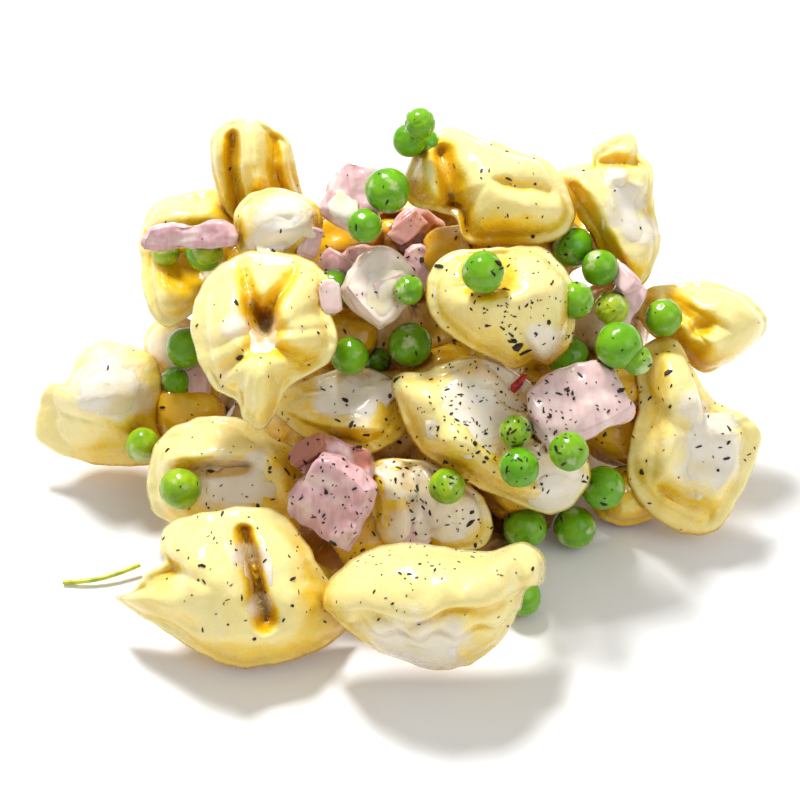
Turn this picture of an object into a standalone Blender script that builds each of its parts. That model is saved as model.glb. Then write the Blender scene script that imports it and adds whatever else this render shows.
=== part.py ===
"""Heap of tortellini with peas and ham in cream, resting on its own flat underside.

Metres, +Z up.  Every tortellino is a filled cushion of two pressed sheets: an uneven outline, a
flat brim, a full belly, and the pits and folds that pinching leaves.  The pieces are laid one by
one onto a low core until each touches what lies under it.
"""
import math

import bmesh
import bpy
import numpy as np
from mathutils import Matrix, Vector
from mathutils.bvhtree import BVHTree

MM = 0.001
GAP = 0.35 * MM            # free space kept between neighbours
MIDDLE = 18                # height (mm) of the middle of the heap
EYE = 370                  # distance (mm) in front of the slope from which the places are measured
THINNEST = 1.2             # mm of pasta left under a pit
ROLL = 1.2                 # how far (mm) a pea or a piece of ham may roll aside to lie deeper
ROLL_GAIN = 1.5            # how many mm deeper it has to come to lie for each mm aside
STEP_SAG, STEP_WAVE, STEP_SOFT = 3.2, 0.9, 0.5        # form (mm) of the edge of a fold laid over
FRONT_RINGS = (0.35, 0.65, 0.88, 1.0)     # shares of the belly's radius
BACK_RINGS = (0.6, 1.0)
CORE_AT, CORE_SIZE = (0, 15), (45, 37, 35)           # middle, half width, half depth, height, mm

# One tortellino before its own measures, mm.  belly and back: how far it bulges out and in;
# lie: slope of its middle sheet sideways and upwards; bow: how fast that sheet curves away;
# flutter: height, number and phase of the waves of its brim
USUAL = dict(belly=7.0, back=4.5, brim=2.5, sheet=2.4, lie=(0, 0), bow=(0.008, 0.008),
             flutter=(0.5, 5, 0), size=1, relief=())

# name: outline (mm right and mm up the slope), own measures.  Relief: ("pit", right, up, radius,
# depth), ("fold", right, up, right, up, width, height), ("step", right, up, right, up, rise, waves).
# turn and at: the side of the heap it lies on (degrees) and its place there, for those at the back
TORTELLINI = {
    "tortellino_front": (
        [(-15.7, -39.6), (-11.8, -34.3), (-5.9, -30.4), (1, -29), (8.8, -29.8), (16.7, -30.8),
         (21.6, -29.4),
         (25.5, -29.2), (28.6, -32.4), (28, -36.3), (24.5, -38.6), (22.5, -44.1), (19, -49.6),
         (13.7, -53.3),
         (7.8, -54.5), (1, -52.9), (-5.9, -49.6), (-11.8, -45.1)],
        dict(belly=7.5, back=3, brim=1, bow=(0.004, 0.016), lie=(0, 0.15), flutter=(0.3, 4, 0), relief=(
            ("step", -13, -42, 24, -41.5, 3, 5), ("pit", 22.5, -35, 3, 2),
            ("fold", -14, -40, -6, -35, 2, -1)))),
    "tortellino_front_left": (
        [(-57, -40.5), (-49, -45.3), (-39.2, -51), (-31.4, -54.1), (-21.6, -52.7), (-13.7, -49.6),
         (-9.8, -45.1), (-12, -39.8), (-15.7, -34.3), (-19.2, -28.4), (-23.5, -23.3), (-30.4, -22),
         (-38.2, -23.3), (-45.5, -25.3), (-47.6, -29.4), (-46.5, -33), (-50.4, -35.3), (-53, -39)],
        dict(belly=7, back=3, brim=2, bow=(0.012, 0.012), lie=(0, 0), relief=(
            ("fold", -30.5, -27, -26, -44, 1.6, -6), ("pit", -46.5, -36.5, 4, 3),
            ("fold", -34, -26, -33, -46, 3, 1.5),
            ("fold", -23, -27, -19, -44, 3, 1)))),
    "tortellino_left": (
        [(-49.8, -17.6), (-48.6, -10.8), (-44.7, -6.3), (-38.2, -4.3), (-30.4, -4.9), (-23.5, -8.8),
         (-16.7, -12), (-13.7, -16.3), (-16, -21.6), (-22.5, -25), (-33.3, -26.5), (-43.1, -26),
         (-49, -22.9)],
        dict(belly=5, back=3.5, brim=2, lie=(0, 0), relief=(
            ("fold", -45, -12, -26, -11, 2.5, 2.5), ("pit", -33, -18, 6, 4),
            ("fold", -42, -15, -30, -14.5, 1.5, -2),
            ("fold", -25, -12, -20, -20, 2, 2)))),
    "tortellino_far_left": (
        [(-72, -7.8), (-70.6, -1), (-68.6, 2.2), (-65.5, 2.9), (-63.1, 7.8), (-58.8, 10.6), (-52.9, 10),
         (-48.4, 7.6), (-46.5, 2.9), (-46.9, -3.9), (-46.5, -9.8), (-49, -13.5), (-55.9, -14.1),
         (-63.7, -12.7),
         (-69.6, -10.4)],
        dict(belly=3, brim=3.5, lie=(0, 0.1), relief=(
            ("pit", -56, 1.5, 8.5, -7), ("pit", -54, 2, 2.5, 1.2), ("fold", -60, 4, -52, 5, 1.2, -1)))),
    "tortellino_upper_left": (
        [(-41.2, 13.7), (-39.8, 20.6), (-36.3, 25.5), (-30.4, 28.4), (-23.5, 28.4), (-17.3, 26.5),
         (-13.7, 22.5),
         (-14.1, 17.6), (-12.2, 11.8), (-13.7, 6.5), (-18.6, 3.5), (-22.5, 0.6), (-23.9, -3.3),
         (-27.1, -6.9),
         (-30.4, -4.9), (-32, -1), (-36.3, 1), (-39.6, 6.5)],
        dict(belly=8.5, brim=2, bow=(0.012, 0.008), lie=(0, -0.2), relief=(
            ("pit", -26.5, 13, 4, 7), ("fold", -27.5, 14, -30.5, 24, 1.8, -4),
            ("fold", -26, 15, -21.5, 24, 1.8, -3.5),
            ("fold", -27, 10, -35, 4, 1.8, -2), ("fold", -25, 9, -17, 6, 2, -2.5),
            ("fold", -27, 4, -27, -5, 2.5, 1.5)))),
    "tortellino_back_left": (
        [(-51, 29.4), (-50.4, 35.9), (-47.1, 38.8), (-40.2, 40.8), (-34.3, 40.8), (-30.4, 37.3),
         (-30.4, 28.4),
         (-34.3, 20.6), (-40.2, 15.7), (-45.1, 13.3), (-48.6, 16.3), (-50.4, 22.5)],
        dict(belly=6, lie=(-0.1, -0.3), relief=(("pit", -40, 25, 5.5, 8),
            ("fold", -50, 31.5, -32, 31.5, 2, -2)))),
    "tortellino_tall": (
        [(-37.3, 47.6), (-36.3, 52), (-31.8, 53.7), (-25.9, 52.7), (-21.6, 49.4), (-20, 43.1),
         (-19.2, 37.3),
         (-24.5, 33.9), (-31.4, 33.9), (-35.3, 37.3), (-36.7, 42.5)],
        dict(belly=5, brim=1, lie=(0, 0.3), bow=(0.02, 0.004), relief=(
            ("fold", -33, 50, -32, 36, 1.6, -3.5), ("fold", -25, 50, -23, 36, 1.8, -3),
            ("fold", -29, 52, -28, 36, 2, 1)))),
    "tortellino_pale": (
        [(-32.7, 34.3), (-30.8, 38.6), (-25.5, 40.6), (-19.2, 39.2), (-15.3, 35.9), (-15.7, 30.4),
         (-19.6, 26.1),
         (-27.1, 24.9), (-31.8, 28.4)],
        dict(belly=8, brim=0.8, bow=(0.012, 0.012), relief=(("pit", -22, 33, 2.5, 1),
            ("fold", -27, 30, -20, 28, 2, -1)))),
    "tortellino_top": (
        [(0.8, 41.2), (2.4, 47.1), (5.9, 51.6), (10.2, 53.1), (15.7, 51), (22.5, 48.4), (29, 46.1),
         (32.9, 41.2),
         (34.7, 35.7), (32.4, 31.2), (26.5, 29.2), (19.6, 29), (12.7, 29.8), (10.8, 34.3), (6.9, 35.9),
         (2.4, 37.3)],
        dict(belly=7.5, brim=1.5, lie=(0, -0.2), relief=(
            ("fold", 8.5, 47, 12, 33, 2, -5), ("fold", 20, 40.5, 29, 39.5, 1.6, -1.6),
            ("pit", 21, 35.5, 7, -1.5),
            ("fold", 4, 46, 6, 40, 2, 1.5)))),
    "tortellino_top_right": (
        [(31, 44.1), (37.3, 45.7), (38, 48.4), (41.6, 50.6), (46.3, 51.8), (47.5, 48), (50, 45.1),
         (50, 38.2),
         (51.4, 31.4), (50.6, 26.5), (47.6, 21.6), (44.7, 20.6), (40.2, 26.1), (35.7, 33.3), (32.4, 39.2)],
        dict(belly=5.5, brim=1.5, lie=(-0.2, -0.1), relief=(
            ("pit", 44.5, 38, 4.5, 3.5), ("pit", 46, 32, 4, 2.5), ("fold", 34, 41, 44, 26, 2.5, 2),
            ("fold", 40, 46, 47, 46, 1.5, -2.5), ("pit", 42, 47.5, 2.5, 2)))),
    "tortellino_middle": (
        [(5.1, 18.6), (5.9, 24.5), (10.2, 28), (18.6, 28.8), (27.5, 29.2), (31.4, 26.1), (34.5, 20.6),
         (34.7, 15.1),
         (33.3, 9.8), (29.8, 5.9), (26.5, 6.9), (23.1, 5.1), (18.6, 6.9), (12.7, 9.8), (7.5, 13.7)],
        dict(belly=9, brim=1.5, bow=(0.008, 0.014), lie=(0, 0.1), relief=(
            ("pit", 16.3, 24, 5, 5), ("fold", 13, 18, 26, 19, 3, 1), ("fold", 30, 24, 31, 10, 2.5, 1)))),
    "tortellino_broad": (
        [(-1.4, 3.3), (4.9, 4.7), (11.8, 7.1), (18.6, 6.5), (24.5, 2.9), (31, -2), (35.3, -8.8),
         (37.6, -15.1),
         (35.7, -20), (30.4, -23.5), (23.5, -21.6), (16.7, -19), (9.8, -15.1), (3.9, -10.8), (0.4, -4.9)],
        dict(belly=6, brim=2, lie=(0, 0.1), relief=(
            ("pit", 20, -2, 8, 4), ("fold", 4, 0, 9, -8, 4, 2), ("fold", 10, -9, 24, -18, 3, 2.5),
            ("pit", 27, -14, 5, 2)))),
    "tortellino_shade": (
        [(-25.1, -2.5), (-20.6, 2), (-13.7, 4.5), (-5.9, 5.3), (-0.4, 2), (1.6, -3.3), (0.4, -8.4),
         (-4.9, -11.2),
         (-11.8, -11.6), (-18.6, -8.8), (-22.9, -5.3)],
        dict(belly=4, brim=3, lie=(0, -0.2), relief=(("pit", -11, 0, 6, 4),
            ("fold", -18, 1, -4, 3, 2, 2)))),
    "tortellino_lower": (
        [(-7.6, -15.7), (-4.7, -12.7), (0, -12.4), (5.9, -13.1), (12.2, -16.7), (16.7, -20.6),
         (18.4, -26.5),
         (15.7, -30.5), (5.9, -31.5), (-2.9, -31), (-6.3, -27.5), (-5.9, -21.6)],
        dict(belly=5, back=3.5, brim=1.5, lie=(0, 0.3), relief=(("fold", 2, -15, 5, -30, 2.5, -3),
            ("pit", 12, -25, 4, 1.5)))),
    "tortellino_right": (
        [(46.5, 3.9), (47.6, 9.2), (51.4, 11.4), (54.9, 10.2), (57.3, 5.3), (61.2, -0.6), (67.6, -3.9),
         (71.2, -7.8),
         (70, -13.7), (66.7, -20.6), (63.1, -26.5), (58.8, -28), (52.5, -25.7), (47.1, -21), (44.7, -15.7),
         (45.7, -7.8), (46.7, -2)],
        dict(belly=6, brim=3, lie=(0, 0.1), relief=(
            ("pit", 60, -12, 7, 3.5), ("fold", 51.5, 7, 51, -14, 2.5, 2.5),
            ("fold", 52, -19, 62, -24, 2, -2.5),
            ("fold", 64, -5, 67, -14, 2, 1)))),
    "tortellino_far_right": (
        [(46.7, 16.7), (48.6, 21), (54.9, 22), (61.8, 22), (67.6, 20), (72.4, 15.1), (71, 11.2),
         (66.3, 7.3),
         (60, 4.3), (55.9, 6.9), (52, 9.8), (48.6, 12.4)],
        dict(belly=6.5, brim=1, relief=(
            ("pit", 59, 13.5, 2, 3), ("fold", 55, 14, 60, 10, 1.5, 1.5), ("fold", 53, 19, 57, 13, 2, -3)))),
    "tortellino_gap_right": (
        [(34.3, 16.7), (37.3, 21.4), (43.1, 22.2), (47.5, 18.6), (49, 12.7), (47, 5.9), (40.2, 3.3),
         (34.3, 7.8)],
        dict(belly=6, brim=1, relief=(("fold", 36, 12, 46, 14, 2, -1.5),))),
    "tortellino_low_front": (
        [(36.3, -18.6), (41.2, -14.7), (48, -13.7), (52.5, -19.6), (50, -24.1), (44.1, -25.7),
         (38.8, -23.5)],
        dict(belly=4, brim=1.5)),
    "tortellino_gap_left": (
        [(-50.4, 9.8), (-48.6, 14.3), (-43.1, 15.7), (-38.2, 11.8), (-35.7, 4.9), (-36.3, -2),
         (-41.2, -6.5),
         (-46.1, -3.9), (-48, 2)],
        dict(belly=5, brim=1)),
    "tortellino_behind": (
        [(-17, 0), (-14, 9), (-5, 13), (6, 12), (15, 7), (17, -2), (11, -10), (0, -13), (-11, -9)],
        dict(turn=180, at=(-8, -16), size=1.2, relief=(("pit", 0, 1, 4, 4), ("fold", 2, 3, 9, 8, 2, -3)))),
    "tortellino_low_right": (
        [(-16, -2), (-12, 8), (-3, 11), (8, 12), (16, 5), (15, -5), (6, -11), (-6, -12)],
        dict(turn=130, at=(-4, -22), size=1.2, relief=(("pit", 1, 0, 4, 4),
            ("fold", -1, 2, -8, 6, 2, -3)))),
    "tortellino_low_left": (
        [(-15, 1), (-13, 9), (-4, 12), (7, 10), (15, 6), (17, -3), (9, -10), (-3, -11), (-12, -8)],
        dict(turn=225, at=(2, -24), size=1.25, relief=(("fold", -8, -3, 8, 2, 2.5, -3),
            ("fold", -6, 5, 6, 7, 2, 1.5)))),
}

# name: mm right and up the slope, width, height and depth, turn about the slope's normal, lean
# sideways and back (degrees)
HAM = {
    "ham_strip": ((-41.5, 31), (18, 5, 5), 6, (0, 10)),
    "ham_back": ((-10, 39), (11, 13, 5), -20, (10, -20)),
    "ham_upper": ((-6.5, 27.5), (12, 8, 6), -10, (10, 20)),
    "ham_dark": ((3, 32.5), (9, 8, 5), 40, (20, 0)),
    "ham_edge": ((4.5, 25), (6, 9, 4), 35, (0, 10)),
    "ham_pale": ((-3.9, 21), (13, 12, 7), 50, (10, -10)),
    "ham_front": ((-13, -20.5), (14, 15, 7), -25, (-15, 15)),
    "ham_under": ((-12, -13), (13, 8, 5), -10, (0, 0)),
    "ham_right": ((34.5, -2), (18, 13, 7), 30, (0, -15)),
    "ham_far": ((44, 18.5), (6, 9, 5), -30, (10, 0)),
}

# name: mm right, mm up the slope, diameter
PEAS = {
    "pea_01": (3.9, 53, 6.6), "pea_02": (1.8, 49.8, 7.0), "pea_03": (-2.4, 40, 9.4), "pea_04": (-6.1, 34.3, 7.2),
    "pea_05": (-13, 21, 7.6), "pea_06": (-9.8, 7.6, 7.8), "pea_07": (2, 8.8, 9.4), "pea_08": (2.7, 19.8, 6.2),
    "pea_09": (16.3, 23.9, 8.8), "pea_10": (34.9, 30, 8.4), "pea_11": (39.2, 24.9, 7.6), "pea_12": (42.2, 8.8, 9.8),
    "pea_13": (51.6, 15.1, 7.8), "pea_14": (33, 7.5, 8.8), "pea_15": (24.1, -7.3, 7.0), "pea_16": (23.5, -13.1, 8.4),
    "pea_17": (33.1, -11.2, 8.2), "pea_18": (39.8, -18.2, 9.0), "pea_19": (24.5, -26, 9.0),
    "pea_20": (34.3, -26, 8.8), "pea_21": (9.2, -18, 7.6), "pea_22": (23.9, -39.6, 8.0), "pea_23": (-43.1, -19.8, 8.8),
    "pea_24": (-50.4, -9.8, 7.2), "pea_25": (-43.1, 9.2, 8.4), "pea_26": (-38.2, 28, 8.0),
}

# What is laid before what; the first lies deepest
ORDER = """
gap_left gap_right low_front behind low_right low_left back_left tall far_right top_right
far_left lower shade pale ham_back ham_upper ham_dark ham_far pea_05 pea_06 pea_14
pea_10 pea_11 pea_19 pea_20 pea_25 pea_24 pea_26 pea_22 pea_18 top pea_02 pea_01 ham_strip left ham_under right
broad pea_21 upper_left ham_edge middle ham_pale ham_right ham_front pea_03 pea_04 pea_07 pea_08 pea_09 pea_12
pea_13 front_left pea_23 front pea_15 pea_16 pea_17
""".split()

STEM_ACROSS = 1.0 * MM
STEM_STEPS = 7
STEM_FROM, STEM_TO = (-64, -33, 0.6), (-49.5, -30, 2.2)     # mm
STEM_BOW = 1.2 * MM

COLOURS = {  # linear base colour, roughness
    "pasta": ((0.80, 0.62, 0.24, 1), 0.38),
    "pea": ((0.13, 0.34, 0.01, 1), 0.30),
    "ham": ((0.62, 0.36, 0.38, 1), 0.42),
    "core": ((0.62, 0.50, 0.28, 1), 0.5),
    "herb": ((0.45, 0.50, 0.03, 1), 0.4),
}


def clear_scene():
    for item in list(bpy.data.objects):
        bpy.data.objects.remove(item, do_unlink=True)


def material(slot):
    made = bpy.data.materials.get(slot)
    if made is None:
        made = bpy.data.materials.new(slot)
        made.use_nodes = True
        shader = made.node_tree.nodes["Principled BSDF"]
        colour, rough = COLOURS[slot]
        shader.inputs["Base Color"].default_value = colour
        shader.inputs["Roughness"].default_value = rough
        made.diffuse_color = colour
    return made


def directions(turn):
    """Right, up the slope and straight out of it, for a slope turned about the heap's axis."""
    c, s, h = math.cos(math.radians(turn)), math.sin(math.radians(turn)), math.sqrt(0.5)
    return np.array(((c, s, 0), (-s * h, c * h, h), (s * h, -c * h, h)))


def relief_at(kinds, x, y):
    """Height (mm) that pits, folds and steps add at a place of the cushion."""
    total = np.zeros_like(x)
    for kind, *v in kinds:
        if kind == "pit":
            px, py, radius, depth = v
            total -= depth * np.exp(-((x - px) ** 2 + (y - py) ** 2) / radius ** 2)
            continue
        x0, y0, x1, y1, a, b = v
        length = math.hypot(x1 - x0, y1 - y0)
        ux, uy = (x1 - x0) / length, (y1 - y0) / length
        along = (x - x0) * ux + (y - y0) * uy
        off = (y - y0) * ux - (x - x0) * uy
        if kind == "fold":
            beyond = np.maximum(0, np.maximum(-along, along - length))
            total += b * np.exp(-(off / a) ** 2 - (beyond / a) ** 2)
        else:
            edge = STEP_SAG * np.sin(math.pi * np.clip(along / length, 0, 1))
            edge += STEP_WAVE * np.sin(math.tau * b * along / length)
            total += a / (1 + np.exp(-(off + edge) / STEP_SOFT))
    return total


def cushion_grid(outline, own, front_rings=FRONT_RINGS, back_rings=BACK_RINGS):
    """Rings of points (mm: right, up, out) from the middle of the front over the brim to the back."""
    m = dict(USUAL, **own)
    edge = np.array(outline, float) * m["size"]
    middle = (edge.max(0) + edge.min(0)) / 2
    reach = np.hypot(*(edge - middle).T)
    belly_at = 1 - m["brim"] / reach
    angle = np.arctan2(*(edge - middle).T[::-1])
    rings = []
    for side, shares in ((1, front_rings), (-1, back_rings[::-1])):
        full = m["belly"] if side > 0 else m["back"]
        levels = [(0.0, 0.0)] if side > 0 else []
        levels += [(belly_at * f, f) for f in shares] + ([(1.0, 1.0)] if side > 0 else [])
        if side < 0:
            levels = [(1.0, 1.0)] + levels + [(0.0, 0.0)]
        for t, f in levels:
            away = (edge - middle) * np.reshape(t, (-1, 1))
            x, y = (middle + away).T
            amp, count, phase = m["flutter"]
            sheet = m["lie"][0] * away[:, 0] + m["lie"][1] * away[:, 1]
            sheet = sheet - m["bow"][0] * away[:, 0] ** 2 - m["bow"][1] * away[:, 1] ** 2
            sheet = sheet + amp * np.sin(count * angle + phase) * np.array(t) ** 3
            bulge = m["sheet"] / 2 + full * max(0, 1 - f * f) ** 0.6
            if side > 0:
                raised = relief_at(m["relief"], x, y) * (1 - np.array(t) ** 6)
                bulge = np.maximum(bulge + raised, THINNEST - m["sheet"] / 2 - m["back"] * max(0, 1 - f * f) ** 0.6)
            rings.append(np.stack([x, y, sheet + side * bulge], -1))
    return np.array(rings), middle


def cushion(name, rings, slot, group):
    """One closed solid from its rings; the first and the last ring are single points."""
    count, round_ = rings.shape[:2]
    points = [tuple(rings[0, 0])] + [tuple(p) for ring in rings[1:-1] for p in ring] + [tuple(rings[-1, 0])]
    faces = []
    for j in range(round_):
        k = (j + 1) % round_
        faces.append((0, 1 + j, 1 + k))
        for i in range(count - 3):
            a, b = 1 + i * round_, 1 + (i + 1) * round_
            faces.append((a + j, b + j, b + k, a + k))
        last = 1 + (count - 3) * round_
        faces.append((last + j, len(points) - 1, last + k))
    return solid(name, points, faces, slot, group)


def solid(name, points, faces, slot, group):
    mesh = bpy.data.meshes.new(name)
    mesh.from_pydata(points, [], faces)
    bm = bmesh.new()
    bm.from_mesh(mesh)
    bmesh.ops.triangulate(bm, faces=bm.faces)
    bmesh.ops.recalc_face_normals(bm, faces=bm.faces)
    bm.to_mesh(mesh)
    bm.free()
    mesh.materials.append(material(slot))
    made = bpy.data.objects.new(name, mesh)
    group.objects.link(made)
    return made


class Piece:
    """A solid with a slightly swollen skin for contact tests, and where it lies."""

    def __init__(self, made):
        mesh = made.data
        count = len(mesh.vertices)
        coords, normals = np.empty(count * 3), np.empty(count * 3)
        mesh.vertices.foreach_get("co", coords)
        mesh.vertices.foreach_get("normal", normals)
        self.skin = coords.reshape(-1, 3) + normals.reshape(-1, 3) * GAP * 0.6
        self.faces = [tuple(f.vertices) for f in mesh.polygons]
        self.tree = BVHTree.FromPolygons(self.skin.tolist(), self.faces)
        self.low, self.high = self.skin.min(0), self.skin.max(0)
        self.made = made
        self.at = np.zeros(3)

    def apart(self, other):
        away = self.at - other.at
        return ((self.low + away > other.high) | (self.high + away < other.low)).any()

    def meets(self, others):
        for other in others:
            if not self.apart(other):
                moved = BVHTree.FromPolygons((self.skin + self.at - other.at).tolist(), self.faces)
                if moved.overlap(other.tree):
                    return True
        return False


def slide(piece, others, place, ways, start=95, stop=-75):
    """Bring a piece in along the slope's normal until it lies on the heap or the ground.

    place, start and stop are mm: across and up the slope, and how far out it starts and stops.
    Returns how far out it lies.
    """
    across = (np.array((0, 0, MIDDLE)) + ways[0] * place[0] + ways[1] * place[1]) * MM
    out, step = start * MM, 2 * MM

    def free(out):
        piece.at = across + ways[2] * out
        return out > stop * MM and piece.at[2] + piece.low[2] > 0 and not piece.meets(others)

    while free(out - step):
        out -= step
    while step > 0.05 * MM:
        step /= 2
        if free(out - step):
            out -= step
    piece.at = across + ways[2] * out
    piece.made.location = piece.at
    return out / MM


def lay(make, others, place, turn=0, rolls=False):
    """Slide a piece in: its depth settles how large it is, and it may roll aside to lie deeper."""
    scale, ways = 1.0, directions(turn)
    for attempt in range(3):
        piece = Piece(make(scale))
        right, up = place[0] * scale, place[1] * scale
        out = slide(piece, others, (right, up), ways)
        if attempt < 2:
            scale = 1 - out / EYE
            bpy.data.objects.remove(piece.made, do_unlink=True)
    best = (out, right, up)
    for k in range(8 if rolls else 0):
        aside = (right + ROLL * math.cos(k * math.tau / 8), up + ROLL * math.sin(k * math.tau / 8))
        best = min(best, (slide(piece, others, aside, ways) + ROLL_GAIN * ROLL, *aside))
    if rolls:
        slide(piece, others, best[1:], ways)
    others.append(piece)


def core(group):
    """The pasta and sauce under the heap: a low uneven mound, flat where it rests."""
    rings, round_ = 9, 40
    points = [(CORE_AT[0] * MM, CORE_AT[1] * MM, CORE_SIZE[2] * MM)]
    for i in range(1, rings + 1):
        r = i / rings
        for j in range(round_):
            a = math.tau * j / round_
            front = max(0, -math.sin(a)) ** 2
            wide = 1 + 0.05 * math.sin(3 * a + 1) + 0.03 * math.sin(5 * a) + 0.4 * front ** 2
            x, y = CORE_SIZE[0] * r * wide * math.cos(a), CORE_SIZE[1] * r * wide * math.sin(a)
            lump = 1.6 * math.sin(0.23 * x + 1) * math.cos(0.27 * y) * min(1, 4 * (1 - r))
            z = CORE_SIZE[2] * (1 - r ** 2) ** (0.55 + 1.5 * front) + lump
            points.append(((CORE_AT[0] + x) * MM, (CORE_AT[1] + y) * MM, max(0, z) * MM))
    points.append((CORE_AT[0] * MM, CORE_AT[1] * MM, 0))
    faces, last = [], 1 + (rings - 1) * round_
    for j in range(round_):
        k = (j + 1) % round_
        faces.append((0, 1 + j, 1 + k))
        faces.append((last + j, len(points) - 1, last + k))
        for i in range(rings - 1):
            a, b = 1 + i * round_, 1 + (i + 1) * round_
            faces.append((a + j, b + j, b + k, a + k))
    return solid("core", points, faces, "core", group)


def ham_piece(name, size, seed, group):
    """A cut piece of ham: a block with softened corners, uneven faces and a slight bend."""
    bm = bmesh.new()
    bmesh.ops.create_cube(bm, size=2)
    bmesh.ops.subdivide_edges(bm, edges=bm.edges, cuts=2, use_grid_fill=True)
    for v in bm.verts:
        x, y, z = v.co
        round_ = 1 / (abs(x) ** 6 + abs(y) ** 6 + abs(z) ** 6) ** (1 / 6)
        x, y, z = x * round_, y * round_, z * round_
        uneven = 1 + 0.12 * math.sin(2.3 * x + seed) * math.cos(1.9 * y + 2 * seed)
        v.co = Vector((x * size[0] / 2 * (1 - 0.12 * y), y * size[1] / 2 * uneven,
                       z * size[2] / 2 * uneven + 0.08 * size[0] * (x * x - 0.5))) * MM
    bmesh.ops.triangulate(bm, faces=bm.faces)
    bmesh.ops.recalc_face_normals(bm, faces=bm.faces)
    mesh = bpy.data.meshes.new(name)
    bm.to_mesh(mesh)
    bm.free()
    mesh.materials.append(material("ham"))
    made = bpy.data.objects.new(name, mesh)
    group.objects.link(made)
    return made


def pea(name, across, group):
    bm = bmesh.new()
    bmesh.ops.create_icosphere(bm, subdivisions=2, radius=across / 2 * MM)
    mesh = bpy.data.meshes.new(name)
    bm.to_mesh(mesh)
    bm.free()
    mesh.shade_smooth()
    mesh.materials.append(material("pea"))
    made = bpy.data.objects.new(name, mesh)
    group.objects.link(made)
    return made


def herb_stem(group):
    """A thin bent stem lying on the ground against the front of the heap."""
    curve = bpy.data.curves.new("herb_stem", "CURVE")
    curve.dimensions = "3D"
    curve.bevel_depth = STEM_ACROSS / 2
    curve.bevel_resolution = 1
    curve.use_fill_caps = True
    spline = curve.splines.new("POLY")
    spline.points.add(STEM_STEPS)
    for k, point in enumerate(spline.points):
        t = k / STEM_STEPS
        way = Vector(STEM_FROM).lerp(Vector(STEM_TO), t) * MM
        way.y -= STEM_BOW * math.sin(math.pi * t)
        point.co = (way.x, way.y, way.z, 1)
    curve.materials.append(material("herb"))
    made = bpy.data.objects.new("herb_stem", curve)
    group.objects.link(made)
    return made


def stand_centred(group):
    """Move everything so that the origin is under the middle of the heap's box."""
    bpy.context.view_layer.update()
    boxes = [made.matrix_world @ Vector(corner) for made in group.objects for corner in made.bound_box]
    low = Vector(min(c[axis] for c in boxes) for axis in range(3))
    high = Vector(max(c[axis] for c in boxes) for axis in range(3))
    offset = Vector(((low.x + high.x) / 2, (low.y + high.y) / 2, low.z))
    for made in group.objects:
        made.location -= offset


def lay_tortellino(name, laid, group):
    outline, own = TORTELLINI[name]
    rings, middle = cushion_grid(outline, own)
    turn = own.get("turn", 0)
    ways = directions(turn)
    flat = (rings - np.array((*middle, 0))) @ ways * MM
    lay(lambda scale: cushion(name, flat * scale, "pasta", group), laid, own.get("at", middle), turn)


def lay_ham(name, laid, group):
    place, size, turn, (side, back) = HAM[name]
    tilt = Matrix.Rotation(math.radians(45 + back), 3, "X") @ Matrix.Rotation(math.radians(side), 3, "Y")
    tilt = (tilt @ Matrix.Rotation(math.radians(turn), 3, "Z")).to_4x4()

    def make(scale):
        made = ham_piece(name, size, len(name), group)
        made.data.transform(tilt)
        return made

    lay(make, laid, place, rolls=True)


def build():
    clear_scene()
    group = bpy.data.collections.new("tortellini")
    bpy.context.scene.collection.children.link(group)
    laid = [Piece(core(group))]
    for name in ORDER:
        if name in PEAS:
            right, up, across = PEAS[name]
            lay(lambda scale: pea(name, across * scale, group), laid, (right, up), rolls=True)
        elif name in HAM:
            lay_ham(name, laid, group)
        else:
            lay_tortellino("tortellino_" + name, laid, group)
    herb_stem(group)
    stand_centred(group)


build()
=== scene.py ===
# %% [markdown]
# # A heap of tortellini in cream, with peas and ham
#
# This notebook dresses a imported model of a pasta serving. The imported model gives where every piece
# lies. Each piece is then modelled again at full detail: creased pasta cushions with thin wavy
# brims, wet peas, torn ham, pools of cream sauce in the hollows, and ground pepper on top.
#
# The frame is loaded first, because every size and place below is read from it.

# %% Load the frame
import math
import random

import bmesh
import bpy
import numpy as np
from mathutils import Matrix, Vector, noise
from mathutils.bvhtree import BVHTree


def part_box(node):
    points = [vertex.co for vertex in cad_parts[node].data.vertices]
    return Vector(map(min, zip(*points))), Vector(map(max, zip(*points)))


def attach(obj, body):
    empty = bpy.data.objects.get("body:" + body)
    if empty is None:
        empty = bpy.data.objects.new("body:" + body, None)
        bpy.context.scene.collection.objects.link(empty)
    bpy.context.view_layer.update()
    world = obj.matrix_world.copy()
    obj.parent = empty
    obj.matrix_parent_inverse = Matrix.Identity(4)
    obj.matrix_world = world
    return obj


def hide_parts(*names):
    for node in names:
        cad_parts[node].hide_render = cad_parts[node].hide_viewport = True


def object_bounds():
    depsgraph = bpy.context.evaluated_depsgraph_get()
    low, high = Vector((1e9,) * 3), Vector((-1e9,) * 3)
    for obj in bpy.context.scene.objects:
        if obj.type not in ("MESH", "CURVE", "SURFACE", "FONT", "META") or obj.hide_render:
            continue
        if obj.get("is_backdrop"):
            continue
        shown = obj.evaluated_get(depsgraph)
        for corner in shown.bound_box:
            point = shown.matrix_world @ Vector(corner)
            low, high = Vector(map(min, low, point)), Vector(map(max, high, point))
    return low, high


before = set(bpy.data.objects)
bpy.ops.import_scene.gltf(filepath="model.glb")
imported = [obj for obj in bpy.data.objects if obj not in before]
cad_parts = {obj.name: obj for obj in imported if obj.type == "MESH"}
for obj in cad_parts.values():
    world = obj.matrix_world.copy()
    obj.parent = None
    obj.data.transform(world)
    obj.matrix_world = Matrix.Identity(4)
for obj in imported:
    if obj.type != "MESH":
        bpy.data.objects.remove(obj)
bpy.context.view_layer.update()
MM = 0.001
GOLDEN = 2.399963           # radians between neighbours on a sunflower head: spreads points evenly

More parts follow.
